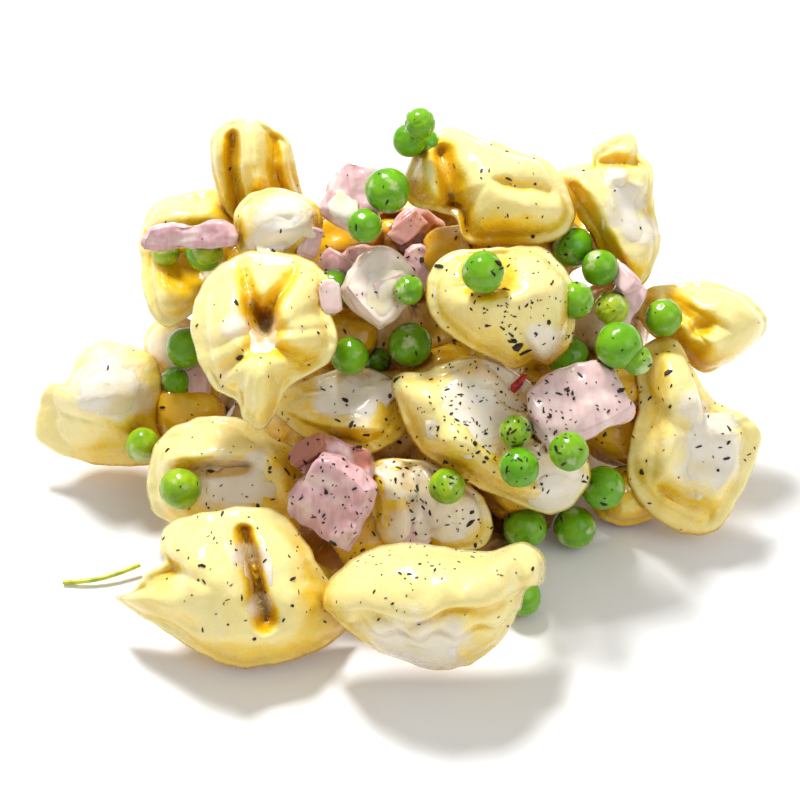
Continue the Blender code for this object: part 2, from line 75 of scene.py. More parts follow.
# %% [markdown]
# ## Where the eye stands
#
# The heap is seen from in front and above, with a long lens, as food on a table often is. The
# camera looks at a point inside the heap. Its own two directions, to the right and up the front
# slope, are also the easiest way to say where a small thing lies, so they get names here.

# %% Camera and directions
LOOK_AT = Vector((0.27, 2.57, 17.3)) * MM
DISTANCE = 370 * MM
RIGHT = Vector((1, 0, 0))
UP_SLOPE = Vector((0, 1, 1)).normalized()
OFF_SLOPE = Vector((0, -1, 1)).normalized()

lens = bpy.data.cameras.new("camera")
lens.lens = 85
lens.sensor_width = 36
camera = bpy.data.objects.new("camera", lens)
camera.location = LOOK_AT + OFF_SLOPE * DISTANCE
camera.rotation_euler = (-OFF_SLOPE).to_track_quat("-Z", "Y").to_euler()
bpy.context.scene.collection.objects.link(camera)
bpy.context.scene.camera = camera
print("camera at", [round(v, 3) for v in camera.location])

# %% [markdown]
# ## Colours and nodes
#
# Colours are easiest to judge as the hex values of a colour picker, but Blender's shaders count in
# linear light, so one function turns the one into the other. Another small function adds a node
# with its settings and links, which keeps the materials below short enough to read.

# %% Two helpers for materials
def rgb(code):
    """Linear colour of an sRGB hex code such as F2E3A8."""
    values = [int(code[i:i + 2], 16) / 255 for i in (0, 2, 4)]
    return [v / 12.92 if v <= 0.04045 else ((v + 0.055) / 1.055) ** 2.4 for v in values] + [1.0]


def add(tree, kind, sockets=None, **settings):
    """Add a node; sockets maps an input's name or number to a value or to another node's output."""
    made = tree.nodes.new("ShaderNode" + kind)
    for key, value in settings.items():
        setattr(made, key, value)
    for key, value in (sockets or {}).items():
        if isinstance(value, bpy.types.NodeSocket):
            tree.links.new(value, made.inputs[key])
        else:
            made.inputs[key].default_value = value
    return made


def new_material(name):
    """An empty material: its node tree and its output node."""
    made = bpy.data.materials.new(name)
    made.use_nodes = True
    made.node_tree.nodes.clear()
    return made, made.node_tree, add(made.node_tree, "OutputMaterial")


def per(millimetres):
    """Noise scale whose features are about this many millimetres across."""
    return 1 / (millimetres * MM)


def mixed(tree, share, first, second):
    """Colour between two colours or outputs."""
    return add(tree, "Mix", {0: share, 6: first, 7: second}, data_type="RGBA").outputs[2]


def ramped(tree, value, low, high, to_low=0.0, to_high=1.0):
    """Smooth step of a value from low..high to to_low..to_high."""
    return add(tree, "MapRange", {0: value, 1: low, 2: high, 3: to_low, 4: to_high},
               interpolation_type="SMOOTHSTEP").outputs[0]


def maths(tree, operation, first, second=0.0):
    return add(tree, "Math", {0: first, 1: second}, operation=operation, use_clamp=False).outputs[0]


print("pure yellow in linear light:", [round(v, 2) for v in rgb("FFFF00")])

# %% [markdown]
# ## Egg pasta, boiled and turned in cream
#
# Fresh egg pasta is rolled dough. Boiled, it swells, turns pale and lets light in; subsurface
# scattering gives the soft look. Shade is painted into its colour: a soft cream yellow where a point
# lies open and faces up, a saturated yellow as painted half shade, orange-brown painted shade in the
# tightest creases and near-black painted shade in the deepest gaps. Four values are stored on the
# mesh for the material to read: hollow says how enclosed a point is, sunk how deep it lies in a fold
# (both set the painted shade), edge how near it is to the thin brim, and pool how much cream lies
# there. A coat with low roughness, broken by a fine grain, tells the eye that the pasta is wet.

# %% The pasta material
PASTA_LIT = rgb("F8E79A")
PASTA_PAINTED_HALF_SHADE = rgb("F2CC34")
PASTA_SHADE = rgb("E2B010")
PASTA_PAINTED_CREASE_SHADE = rgb("AC680A")
PASTA_PAINTED_GAP_SHADE = rgb("2C1403")
CREAM = rgb("EFE7DA")
CREAM_SHADE = rgb("D9C48C")


def pasta_material():
    made, tree, out = new_material("boiled egg pasta in cream")
    place = add(tree, "TexCoord").outputs["Object"]
    hollow = add(tree, "Attribute", attribute_name="hollow").outputs["Fac"]
    pool = add(tree, "Attribute", attribute_name="pool").outputs["Fac"]
    edge = add(tree, "Attribute", attribute_name="edge").outputs["Fac"]
    sunk = add(tree, "Attribute", attribute_name="sunk").outputs["Fac"]
    broad = add(tree, "TexNoise", {"Vector": place, "Scale": per(8), "Detail": 3.0}).outputs["Fac"]
    small = add(tree, "TexNoise", {"Vector": place, "Scale": per(2.2), "Detail": 5.0}).outputs["Fac"]
    grain = add(tree, "TexNoise", {"Vector": place, "Scale": per(0.6), "Detail": 3.0}).outputs["Fac"]
    up = add(tree, "SeparateXYZ", {0: add(tree, "NewGeometry").outputs["Normal"]}).outputs[2]
    # Painted shade: hollowness, folds and a downward-facing normal take the colour from the lit cream
    # through painted half shade and shade to brown and near black.
    depth = maths(tree, "ADD", maths(tree, "ADD", hollow, maths(tree, "MULTIPLY", sunk, 0.22)),
                  maths(tree, "MULTIPLY", maths(tree, "SUBTRACT", broad, 0.5), 0.3))
    depth = maths(tree, "ADD", depth, ramped(tree, up, -0.3, 0.75, 0.2, 0.0))
    colour = mixed(tree, ramped(tree, depth, 0.05, 0.42), PASTA_LIT, PASTA_PAINTED_HALF_SHADE)
    colour = mixed(tree, ramped(tree, edge, 0.86, 1.0, 0.0, 0.35), colour, rgb("F8EDB4"))
    colour = mixed(tree, ramped(tree, depth, 0.35, 0.65), colour, PASTA_SHADE)
    colour = mixed(tree, ramped(tree, depth, 0.76, 1.08), colour, PASTA_PAINTED_CREASE_SHADE)
    colour = mixed(tree, ramped(tree, depth, 1.08, 1.4), colour, PASTA_PAINTED_GAP_SHADE)
    frayed = maths(tree, "MULTIPLY", maths(tree, "SUBTRACT", small, 0.5), 0.35)
    film = ramped(tree, maths(tree, "ADD", pool, frayed), 0.12, 0.75, 0.0, 0.8)
    # Painted shade on the cream film: a darker cream where the point is enclosed.
    whites = mixed(tree, ramped(tree, hollow, 0.3, 0.8), CREAM, CREAM_SHADE)
    colour = mixed(tree, film, colour, whites)
    traces = ramped(tree, small, 0.6, 0.75, 0.0, 0.4)
    colour = mixed(tree, traces, colour, rgb("F6ECC8"))
    gloss = ramped(tree, grain, 0.3, 0.7, 0.14, 0.3)
    bump = add(tree, "Bump", {"Height": small, "Strength": 0.5, "Distance": 0.45 * MM})
    finer = add(tree, "Bump", {"Height": grain, "Strength": 0.35, "Distance": 0.12 * MM,
                               "Normal": bump.outputs[0]})
    raised = add(tree, "Bump", {"Height": film, "Strength": 0.5, "Distance": 0.4 * MM,
                                "Normal": finer.outputs[0]})
    shader = add(tree, "BsdfPrincipled", {
        "Base Color": colour, "Roughness": gloss, "Normal": raised.outputs[0], "IOR": 1.42,
        "Subsurface Weight": 0.25, "Subsurface Radius": (1.0, 0.62, 0.15), "Subsurface Scale": 2.5 * MM,
        "Coat Weight": 0.7, "Coat Roughness": 0.06, "Coat IOR": 1.4})
    tree.links.new(shader.outputs[0], out.inputs[0])
    return made


PASTA = pasta_material()
print("made", PASTA.name)

# %% [markdown]
# ## Cream sauce
#
# The sauce is cream boiled down with cheese and a little cooking water: an off-white liquid, thick
# enough to stand in the creases, with a wet gloss. Shade is painted into it where it lies enclosed:
# first a warm yellow, then dark brown.

# %% The cream material
def cream_material():
    made, tree, out = new_material("reduced cream sauce")
    place = add(tree, "TexCoord").outputs["Object"]
    hollow = add(tree, "Attribute", attribute_name="hollow").outputs["Fac"]
    broad = add(tree, "TexNoise", {"Vector": place, "Scale": per(6), "Detail": 3.0}).outputs["Fac"]
    fine = add(tree, "TexNoise", {"Vector": place, "Scale": per(1.1), "Detail": 3.0}).outputs["Fac"]
    colour = mixed(tree, ramped(tree, broad, 0.35, 0.7), CREAM, rgb("E9DCB4"))
    # Painted shade: by hollowness the cream turns a warm yellow, then dark brown.
    colour = mixed(tree, ramped(tree, hollow, 0.25, 0.6, 0.0, 0.9), colour, rgb("D9A63A"))
    colour = mixed(tree, ramped(tree, hollow, 0.55, 0.85, 0.0, 0.97), colour, rgb("5A2C06"))
    bump = add(tree, "Bump", {"Height": fine, "Strength": 0.3, "Distance": 0.3 * MM})
    shader = add(tree, "BsdfPrincipled", {
        "Base Color": colour, "Roughness": 0.22, "Normal": bump.outputs[0], "IOR": 1.38,
        "Subsurface Weight": 0.2, "Subsurface Radius": (1.0, 0.8, 0.5), "Subsurface Scale": 1.5 * MM,
        "Coat Weight": 0.3, "Coat Roughness": 0.08, "Coat IOR": 1.36})
    tree.links.new(shader.outputs[0], out.inputs[0])
    return made


SAUCE = cream_material()
print("made", SAUCE.name)

# %% [markdown]
# ## Peas
#
# A boiled pea has a tight skin over a soft green inside. The skin is glossy, a little blotched, and
# darker where the pea was thick and less cooked. The colour varies from pea to pea, so each pea
# carries its own ripeness value on its vertices, and traces of cream cling to it.

# %% The pea material
def pea_material():
    made, tree, out = new_material("boiled garden pea")
    place = add(tree, "TexCoord").outputs["Object"]
    ripe = add(tree, "Attribute", attribute_name="ripeness").outputs["Fac"]
    hollow = add(tree, "Attribute", attribute_name="hollow").outputs["Fac"]
    blotch = add(tree, "TexNoise", {"Vector": place, "Scale": per(3), "Detail": 3.0}).outputs["Fac"]
    skin = add(tree, "TexNoise", {"Vector": place, "Scale": per(0.7), "Detail": 3.0}).outputs["Fac"]
    cling = add(tree, "TexNoise", {"Vector": place, "Scale": per(4.1), "Detail": 4.0}).outputs["Fac"]
    colour = mixed(tree, ripe, rgb("66AC0A"), rgb("B6CA20"))
    colour = mixed(tree, ramped(tree, blotch, 0.35, 0.7, 0.0, 0.55), colour, rgb("3F8606"))
    # Painted shade: enclosed parts of a pea turn dark green.
    colour = mixed(tree, ramped(tree, hollow, 0.4, 0.95, 0.0, 0.9), colour, rgb("173F04"))
    film = ramped(tree, cling, 0.57, 0.68, 0.0, 0.55)
    colour = mixed(tree, film, colour, rgb("D9DFB0"))
    bump = add(tree, "Bump", {"Height": skin, "Strength": 0.25, "Distance": 0.15 * MM})
    shader = add(tree, "BsdfPrincipled", {
        "Base Color": colour, "Roughness": 0.2, "Normal": bump.outputs[0], "IOR": 1.42,
        "Subsurface Weight": 0.15, "Subsurface Radius": (0.6, 1.0, 0.1), "Subsurface Scale": 1.5 * MM,
        "Coat Weight": 0.35, "Coat Roughness": 0.1, "Coat IOR": 1.36})
    tree.links.new(shader.outputs[0], out.inputs[0])
    return made


PEA = pea_material()
print("made", PEA.name)

# %% [markdown]
# ## Cooked ham
#
# Boiled ham is pressed muscle: pale rose with fibres that run one way, paler fat between them, and
# a wet cut face. Some pieces get brownish edges, strongest on ham_under and ham_dark. The fibres are
# a stretched noise, and a value on the vertices says where the brown edge is.

# %% The ham material
def ham_material():
    made, tree, out = new_material("cooked ham")
    place = add(tree, "TexCoord").outputs["Object"]
    pale = add(tree, "Attribute", attribute_name="pale").outputs["Fac"]
    brown = add(tree, "Attribute", attribute_name="rind").outputs["Fac"]
    hollow = add(tree, "Attribute", attribute_name="hollow").outputs["Fac"]
    along = add(tree, "Mapping", {"Vector": place, "Scale": (1.0, 0.3, 0.35),
                                  "Rotation": (0.4, 0.5, 0.6)}).outputs[0]
    fibre = add(tree, "TexNoise", {"Vector": along, "Scale": per(1.1), "Detail": 4.0}).outputs["Fac"]
    patch = add(tree, "TexNoise", {"Vector": place, "Scale": per(5), "Detail": 3.0}).outputs["Fac"]
    colour = mixed(tree, ramped(tree, fibre, 0.35, 0.65), rgb("D4A4AA"), rgb("E0B8BC"))
    colour = mixed(tree, ramped(tree, patch, 0.5, 0.7, 0.0, 0.7), colour, rgb("EFDCD4"))
    colour = mixed(tree, pale, colour, rgb("F0E2D2"))
    colour = mixed(tree, ramped(tree, brown, 0.3, 0.9, 0.0, 0.8), colour, rgb("B46A44"))
    # Painted shade: enclosed parts of the ham turn dark brown.
    colour = mixed(tree, ramped(tree, hollow, 0.5, 0.95, 0.0, 0.85), colour, rgb("6A3420"))
    bump = add(tree, "Bump", {"Height": fibre, "Strength": 0.3, "Distance": 0.25 * MM})
    shader = add(tree, "BsdfPrincipled", {
        "Base Color": colour, "Roughness": 0.2, "Normal": bump.outputs[0], "IOR": 1.42,
        "Subsurface Weight": 0.2, "Subsurface Radius": (1.0, 0.45, 0.35), "Subsurface Scale": 1.8 * MM,
        "Coat Weight": 0.3, "Coat Roughness": 0.12, "Coat IOR": 1.36})
    tree.links.new(shader.outputs[0], out.inputs[0])
    return made


HAM = ham_material()
print("made", HAM.name)


# %% [markdown]
# ## Pepper, chili and herb
#
# Ground pepper is dry and matt, from nearly black husk to brown and buff inside. The chili flake is
# a translucent red skin. The herb stem is pale green, yellow where it boiled soft.

# %% Three small materials
def plain_material(name, dark, light, grain_mm, roughness, coat=0.0):
    """Two colours broken up by a noise of the stated grain."""
    made, tree, out = new_material(name)
    place = add(tree, "TexCoord").outputs["Object"]
    mottle = add(tree, "TexNoise", {"Vector": place, "Scale": per(grain_mm), "Detail": 3.0}).outputs["Fac"]
    colour = mixed(tree, ramped(tree, mottle, 0.4, 0.62), rgb(dark), rgb(light))
    bump = add(tree, "Bump", {"Height": mottle, "Strength": 0.4, "Distance": 0.1 * MM})
    shader = add(tree, "BsdfPrincipled", {
        "Base Color": colour, "Roughness": roughness, "Normal": bump.outputs[0],
        "Coat Weight": coat, "Coat Roughness": 0.15})
    tree.links.new(shader.outputs[0], out.inputs[0])
    return made


PEPPER = plain_material("ground black pepper", "120A08", "3A2014", 1.5, 0.6)
CHILI = plain_material("dried chili skin", "8E0A06", "D81E0A", 0.8, 0.3, 0.4)
STEM = plain_material("boiled herb stem", "A8B41C", "D8D848", 3.0, 0.3, 0.4)
print("made", PEPPER.name, CHILI.name, STEM.name)

# %% [markdown]
# ## The shape of one tortellino
#
# A tortellino is dough folded over a spoon of filling. The pressed rim is flat, the middle is full,
# and bringing the ends round and pinching them leaves a hollow and folds that run out from it. It
# could be sculpted, but twenty-two different ones are easier to describe by their measures: an
# outline, how far the middle bulges out and in, how wide the flat brim is, how the sheet lies and
# bows, and a short list of pits and folds.
#
# The same measures give the coarse solids in the frame and the fine pieces here. Outlines are in
# millimetres to the right and up the heap's slope.

# %% Usual measures and the pieces' own
USUAL = dict(belly=7.0, back=4.5, brim=2.5, sheet=2.4, lie=(0, 0), bow=(0.008, 0.008),
             flutter=(0.5, 5, 0), size=1, relief=(), turn=0)
THINNEST = 1.2
STEP_SAG, STEP_WAVE, STEP_SOFT = 3.2, 0.9, 0.5

TORTELLINI = {
    "tortellino_front": (
        [(-15.7, -39.6), (-11.8, -34.3), (-5.9, -30.4), (1, -29), (8.8, -29.8), (16.7, -30.8),
         (21.6, -29.4),
         (25.5, -29.2), (28.6, -32.4), (28, -36.3), (24.5, -38.6), (22.5, -44.1), (19, -49.6),
         (13.7, -53.3),
         (7.8, -54.5), (1, -52.9), (-5.9, -49.6), (-11.8, -45.1)],
        dict(belly=7.5, back=3, brim=1, bow=(0.004, 0.016), lie=(0, 0.15), flutter=(0.3, 4, 0), relief=(
            ("step", -13, -42, 24, -41.5, 3, 5), ("pit", 22.5, -35, 3, 2),
            ("fold", -14, -40, -6, -35, 2, -1)))),
    "tortellino_front_left": (
        [(-57, -40.5), (-49, -45.3), (-39.2, -51), (-31.4, -54.1), (-21.6, -52.7), (-13.7, -49.6),
         (-9.8, -45.1), (-12, -39.8), (-15.7, -34.3), (-19.2, -28.4), (-23.5, -23.3), (-30.4, -22),
         (-38.2, -23.3), (-45.5, -25.3), (-47.6, -29.4), (-46.5, -33), (-50.4, -35.3), (-53, -39)],
        dict(belly=7, back=3, brim=2, bow=(0.012, 0.012), lie=(0, 0), relief=(
            ("fold", -30.5, -27, -26, -44, 1.6, -6), ("pit", -46.5, -36.5, 4, 3),
            ("fold", -34, -26, -33, -46, 3, 1.5),
            ("fold", -23, -27, -19, -44, 3, 1)))),
    "tortellino_left": (
        [(-49.8, -17.6), (-48.6, -10.8), (-44.7, -6.3), (-38.2, -4.3), (-30.4, -4.9), (-23.5, -8.8),
         (-16.7, -12), (-13.7, -16.3), (-16, -21.6), (-22.5, -25), (-33.3, -26.5), (-43.1, -26),
         (-49, -22.9)],
        dict(belly=5, back=3.5, brim=2, lie=(0, 0), relief=(
            ("fold", -45, -12, -26, -11, 2.5, 2.5), ("pit", -33, -18, 6, 4),
            ("fold", -42, -15, -30, -14.5, 1.5, -2),
            ("fold", -25, -12, -20, -20, 2, 2)))),
    "tortellino_far_left": (
        [(-72, -7.8), (-70.6, -1), (-68.6, 2.2), (-65.5, 2.9), (-63.1, 7.8), (-58.8, 10.6), (-52.9, 10),
         (-48.4, 7.6), (-46.5, 2.9), (-46.9, -3.9), (-46.5, -9.8), (-49, -13.5), (-55.9, -14.1),
         (-63.7, -12.7),
         (-69.6, -10.4)],
        dict(belly=3, brim=3.5, lie=(0, 0.1), relief=(
            ("pit", -56, 1.5, 8.5, -7), ("pit", -54, 2, 2.5, 1.2), ("fold", -60, 4, -52, 5, 1.2, -1)))),
    "tortellino_upper_left": (
        [(-41.2, 13.7), (-39.8, 20.6), (-36.3, 25.5), (-30.4, 28.4), (-23.5, 28.4), (-17.3, 26.5),
         (-13.7, 22.5),
         (-14.1, 17.6), (-12.2, 11.8), (-13.7, 6.5), (-18.6, 3.5), (-22.5, 0.6), (-23.9, -3.3),
         (-27.1, -6.9),
         (-30.4, -4.9), (-32, -1), (-36.3, 1), (-39.6, 6.5)],
        dict(belly=8.5, brim=2, bow=(0.012, 0.008), lie=(0, -0.2), relief=(
            ("pit", -26.5, 13, 4, 7), ("fold", -27.5, 14, -30.5, 24, 1.8, -4),
            ("fold", -26, 15, -21.5, 24, 1.8, -3.5),
            ("fold", -27, 10, -35, 4, 1.8, -2), ("fold", -25, 9, -17, 6, 2, -2.5),
            ("fold", -27, 4, -27, -5, 2.5, 1.5)))),
    "tortellino_back_left": (
        [(-51, 29.4), (-50.4, 35.9), (-47.1, 38.8), (-40.2, 40.8), (-34.3, 40.8), (-30.4, 37.3),
         (-30.4, 28.4),
         (-34.3, 20.6), (-40.2, 15.7), (-45.1, 13.3), (-48.6, 16.3), (-50.4, 22.5)],
        dict(belly=6, lie=(-0.1, -0.3), relief=(("pit", -40, 25, 5.5, 8),
            ("fold", -50, 31.5, -32, 31.5, 2, -2)))),
    "tortellino_tall": (
        [(-37.3, 47.6), (-36.3, 52), (-31.8, 53.7), (-25.9, 52.7), (-21.6, 49.4), (-20, 43.1),
         (-19.2, 37.3),
         (-24.5, 33.9), (-31.4, 33.9), (-35.3, 37.3), (-36.7, 42.5)],
        dict(belly=5, brim=1, lie=(0, 0.3), bow=(0.02, 0.004), relief=(
            ("fold", -33, 50, -32, 36, 1.6, -3.5), ("fold", -25, 50, -23, 36, 1.8, -3),
            ("fold", -29, 52, -28, 36, 2, 1)))),
    "tortellino_pale": (
        [(-32.7, 34.3), (-30.8, 38.6), (-25.5, 40.6), (-19.2, 39.2), (-15.3, 35.9), (-15.7, 30.4),
         (-19.6, 26.1),
         (-27.1, 24.9), (-31.8, 28.4)],
        dict(belly=8, brim=0.8, bow=(0.012, 0.012), relief=(("pit", -22, 33, 2.5, 1),
            ("fold", -27, 30, -20, 28, 2, -1)))),
    "tortellino_top": (
        [(0.8, 41.2), (2.4, 47.1), (5.9, 51.6), (10.2, 53.1), (15.7, 51), (22.5, 48.4), (29, 46.1),
         (32.9, 41.2),
         (34.7, 35.7), (32.4, 31.2), (26.5, 29.2), (19.6, 29), (12.7, 29.8), (10.8, 34.3), (6.9, 35.9),
         (2.4, 37.3)],
        dict(belly=7.5, brim=1.5, lie=(0, -0.2), relief=(
            ("fold", 8.5, 47, 12, 33, 2, -5), ("fold", 20, 40.5, 29, 39.5, 1.6, -1.6),
            ("pit", 21, 35.5, 7, -1.5),
            ("fold", 4, 46, 6, 40, 2, 1.5)))),
    "tortellino_top_right": (
        [(31, 44.1), (37.3, 45.7), (38, 48.4), (41.6, 50.6), (46.3, 51.8), (47.5, 48), (50, 45.1),
         (50, 38.2),
         (51.4, 31.4), (50.6, 26.5), (47.6, 21.6), (44.7, 20.6), (40.2, 26.1), (35.7, 33.3), (32.4, 39.2)],
        dict(belly=5.5, brim=1.5, lie=(-0.2, -0.1), relief=(
            ("pit", 44.5, 38, 4.5, 3.5), ("pit", 46, 32, 4, 2.5), ("fold", 34, 41, 44, 26, 2.5, 2),
            ("fold", 40, 46, 47, 46, 1.5, -2.5), ("pit", 42, 47.5, 2.5, 2)))),
    "tortellino_middle": (
        [(5.1, 18.6), (5.9, 24.5), (10.2, 28), (18.6, 28.8), (27.5, 29.2), (31.4, 26.1), (34.5, 20.6),
         (34.7, 15.1),
         (33.3, 9.8), (29.8, 5.9), (26.5, 6.9), (23.1, 5.1), (18.6, 6.9), (12.7, 9.8), (7.5, 13.7)],
        dict(belly=9, brim=1.5, bow=(0.008, 0.014), lie=(0, 0.1), relief=(
            ("pit", 16.3, 24, 5, 5), ("fold", 13, 18, 26, 19, 3, 1), ("fold", 30, 24, 31, 10, 2.5, 1)))),
    "tortellino_broad": (
        [(-1.4, 3.3), (4.9, 4.7), (11.8, 7.1), (18.6, 6.5), (24.5, 2.9), (31, -2), (35.3, -8.8),
         (37.6, -15.1),
         (35.7, -20), (30.4, -23.5), (23.5, -21.6), (16.7, -19), (9.8, -15.1), (3.9, -10.8), (0.4, -4.9)],
        dict(belly=6, brim=2, lie=(0, 0.1), relief=(
            ("pit", 20, -2, 8, 4), ("fold", 4, 0, 9, -8, 4, 2), ("fold", 10, -9, 24, -18, 3, 2.5),
            ("pit", 27, -14, 5, 2)))),
    "tortellino_shade": (
        [(-25.1, -2.5), (-20.6, 2), (-13.7, 4.5), (-5.9, 5.3), (-0.4, 2), (1.6, -3.3), (0.4, -8.4),
         (-4.9, -11.2),
         (-11.8, -11.6), (-18.6, -8.8), (-22.9, -5.3)],
        dict(belly=4, brim=3, lie=(0, -0.2), relief=(("pit", -11, 0, 6, 4),
            ("fold", -18, 1, -4, 3, 2, 2)))),
    "tortellino_lower": (
        [(-7.6, -15.7), (-4.7, -12.7), (0, -12.4), (5.9, -13.1), (12.2, -16.7), (16.7, -20.6),
         (18.4, -26.5),
         (15.7, -30.5), (5.9, -31.5), (-2.9, -31), (-6.3, -27.5), (-5.9, -21.6)],
        dict(belly=5, back=3.5, brim=1.5, lie=(0, 0.3), relief=(("fold", 2, -15, 5, -30, 2.5, -3),
            ("pit", 12, -25, 4, 1.5)))),
    "tortellino_right": (
        [(46.5, 3.9), (47.6, 9.2), (51.4, 11.4), (54.9, 10.2), (57.3, 5.3), (61.2, -0.6), (67.6, -3.9),
         (71.2, -7.8),
         (70, -13.7), (66.7, -20.6), (63.1, -26.5), (58.8, -28), (52.5, -25.7), (47.1, -21), (44.7, -15.7),
         (45.7, -7.8), (46.7, -2)],
        dict(belly=6, brim=3, lie=(0, 0.1), relief=(
            ("pit", 60, -12, 7, 3.5), ("fold", 51.5, 7, 51, -14, 2.5, 2.5),
            ("fold", 52, -19, 62, -24, 2, -2.5),
            ("fold", 64, -5, 67, -14, 2, 1)))),
    "tortellino_far_right": (
        [(46.7, 16.7), (48.6, 21), (54.9, 22), (61.8, 22), (67.6, 20), (72.4, 15.1), (71, 11.2),
         (66.3, 7.3),
         (60, 4.3), (55.9, 6.9), (52, 9.8), (48.6, 12.4)],
        dict(belly=6.5, brim=1, relief=(
            ("pit", 59, 13.5, 2, 3), ("fold", 55, 14, 60, 10, 1.5, 1.5), ("fold", 53, 19, 57, 13, 2, -3)))),
    "tortellino_gap_right": (
        [(34.3, 16.7), (37.3, 21.4), (43.1, 22.2), (47.5, 18.6), (49, 12.7), (47, 5.9), (40.2, 3.3),
         (34.3, 7.8)],
        dict(belly=6, brim=1, relief=(("fold", 36, 12, 46, 14, 2, -1.5),))),
    "tortellino_low_front": (
        [(36.3, -18.6), (41.2, -14.7), (48, -13.7), (52.5, -19.6), (50, -24.1), (44.1, -25.7),
         (38.8, -23.5)],
        dict(belly=4, brim=1.5)),
    "tortellino_gap_left": (
        [(-50.4, 9.8), (-48.6, 14.3), (-43.1, 15.7), (-38.2, 11.8), (-35.7, 4.9), (-36.3, -2),
         (-41.2, -6.5),
         (-46.1, -3.9), (-48, 2)],
        dict(belly=5, brim=1)),
    "tortellino_behind": (
        [(-17, 0), (-14, 9), (-5, 13), (6, 12), (15, 7), (17, -2), (11, -10), (0, -13), (-11, -9)],
        dict(turn=180, at=(-8, -16), size=1.2, relief=(("pit", 0, 1, 4, 4), ("fold", 2, 3, 9, 8, 2, -3)))),
    "tortellino_low_right": (
        [(-16, -2), (-12, 8), (-3, 11), (8, 12), (16, 5), (15, -5), (6, -11), (-6, -12)],
        dict(turn=130, at=(-4, -22), size=1.2, relief=(("pit", 1, 0, 4, 4),
            ("fold", -1, 2, -8, 6, 2, -3)))),
    "tortellino_low_left": (
        [(-15, 1), (-13, 9), (-4, 12), (7, 10), (15, 6), (17, -3), (9, -10), (-3, -11), (-12, -8)],
        dict(turn=225, at=(2, -24), size=1.25, relief=(("fold", -8, -3, 8, 2, 2.5, -3),
            ("fold", -6, 5, 6, 7, 2, 1.5)))),
}
print(len(TORTELLINI), "tortellini")

# %% [markdown]
# Finer things that the solids leave out: sharp creases where dough was pinched, soft wrinkles, and
# the places where sauce lies in a pool.

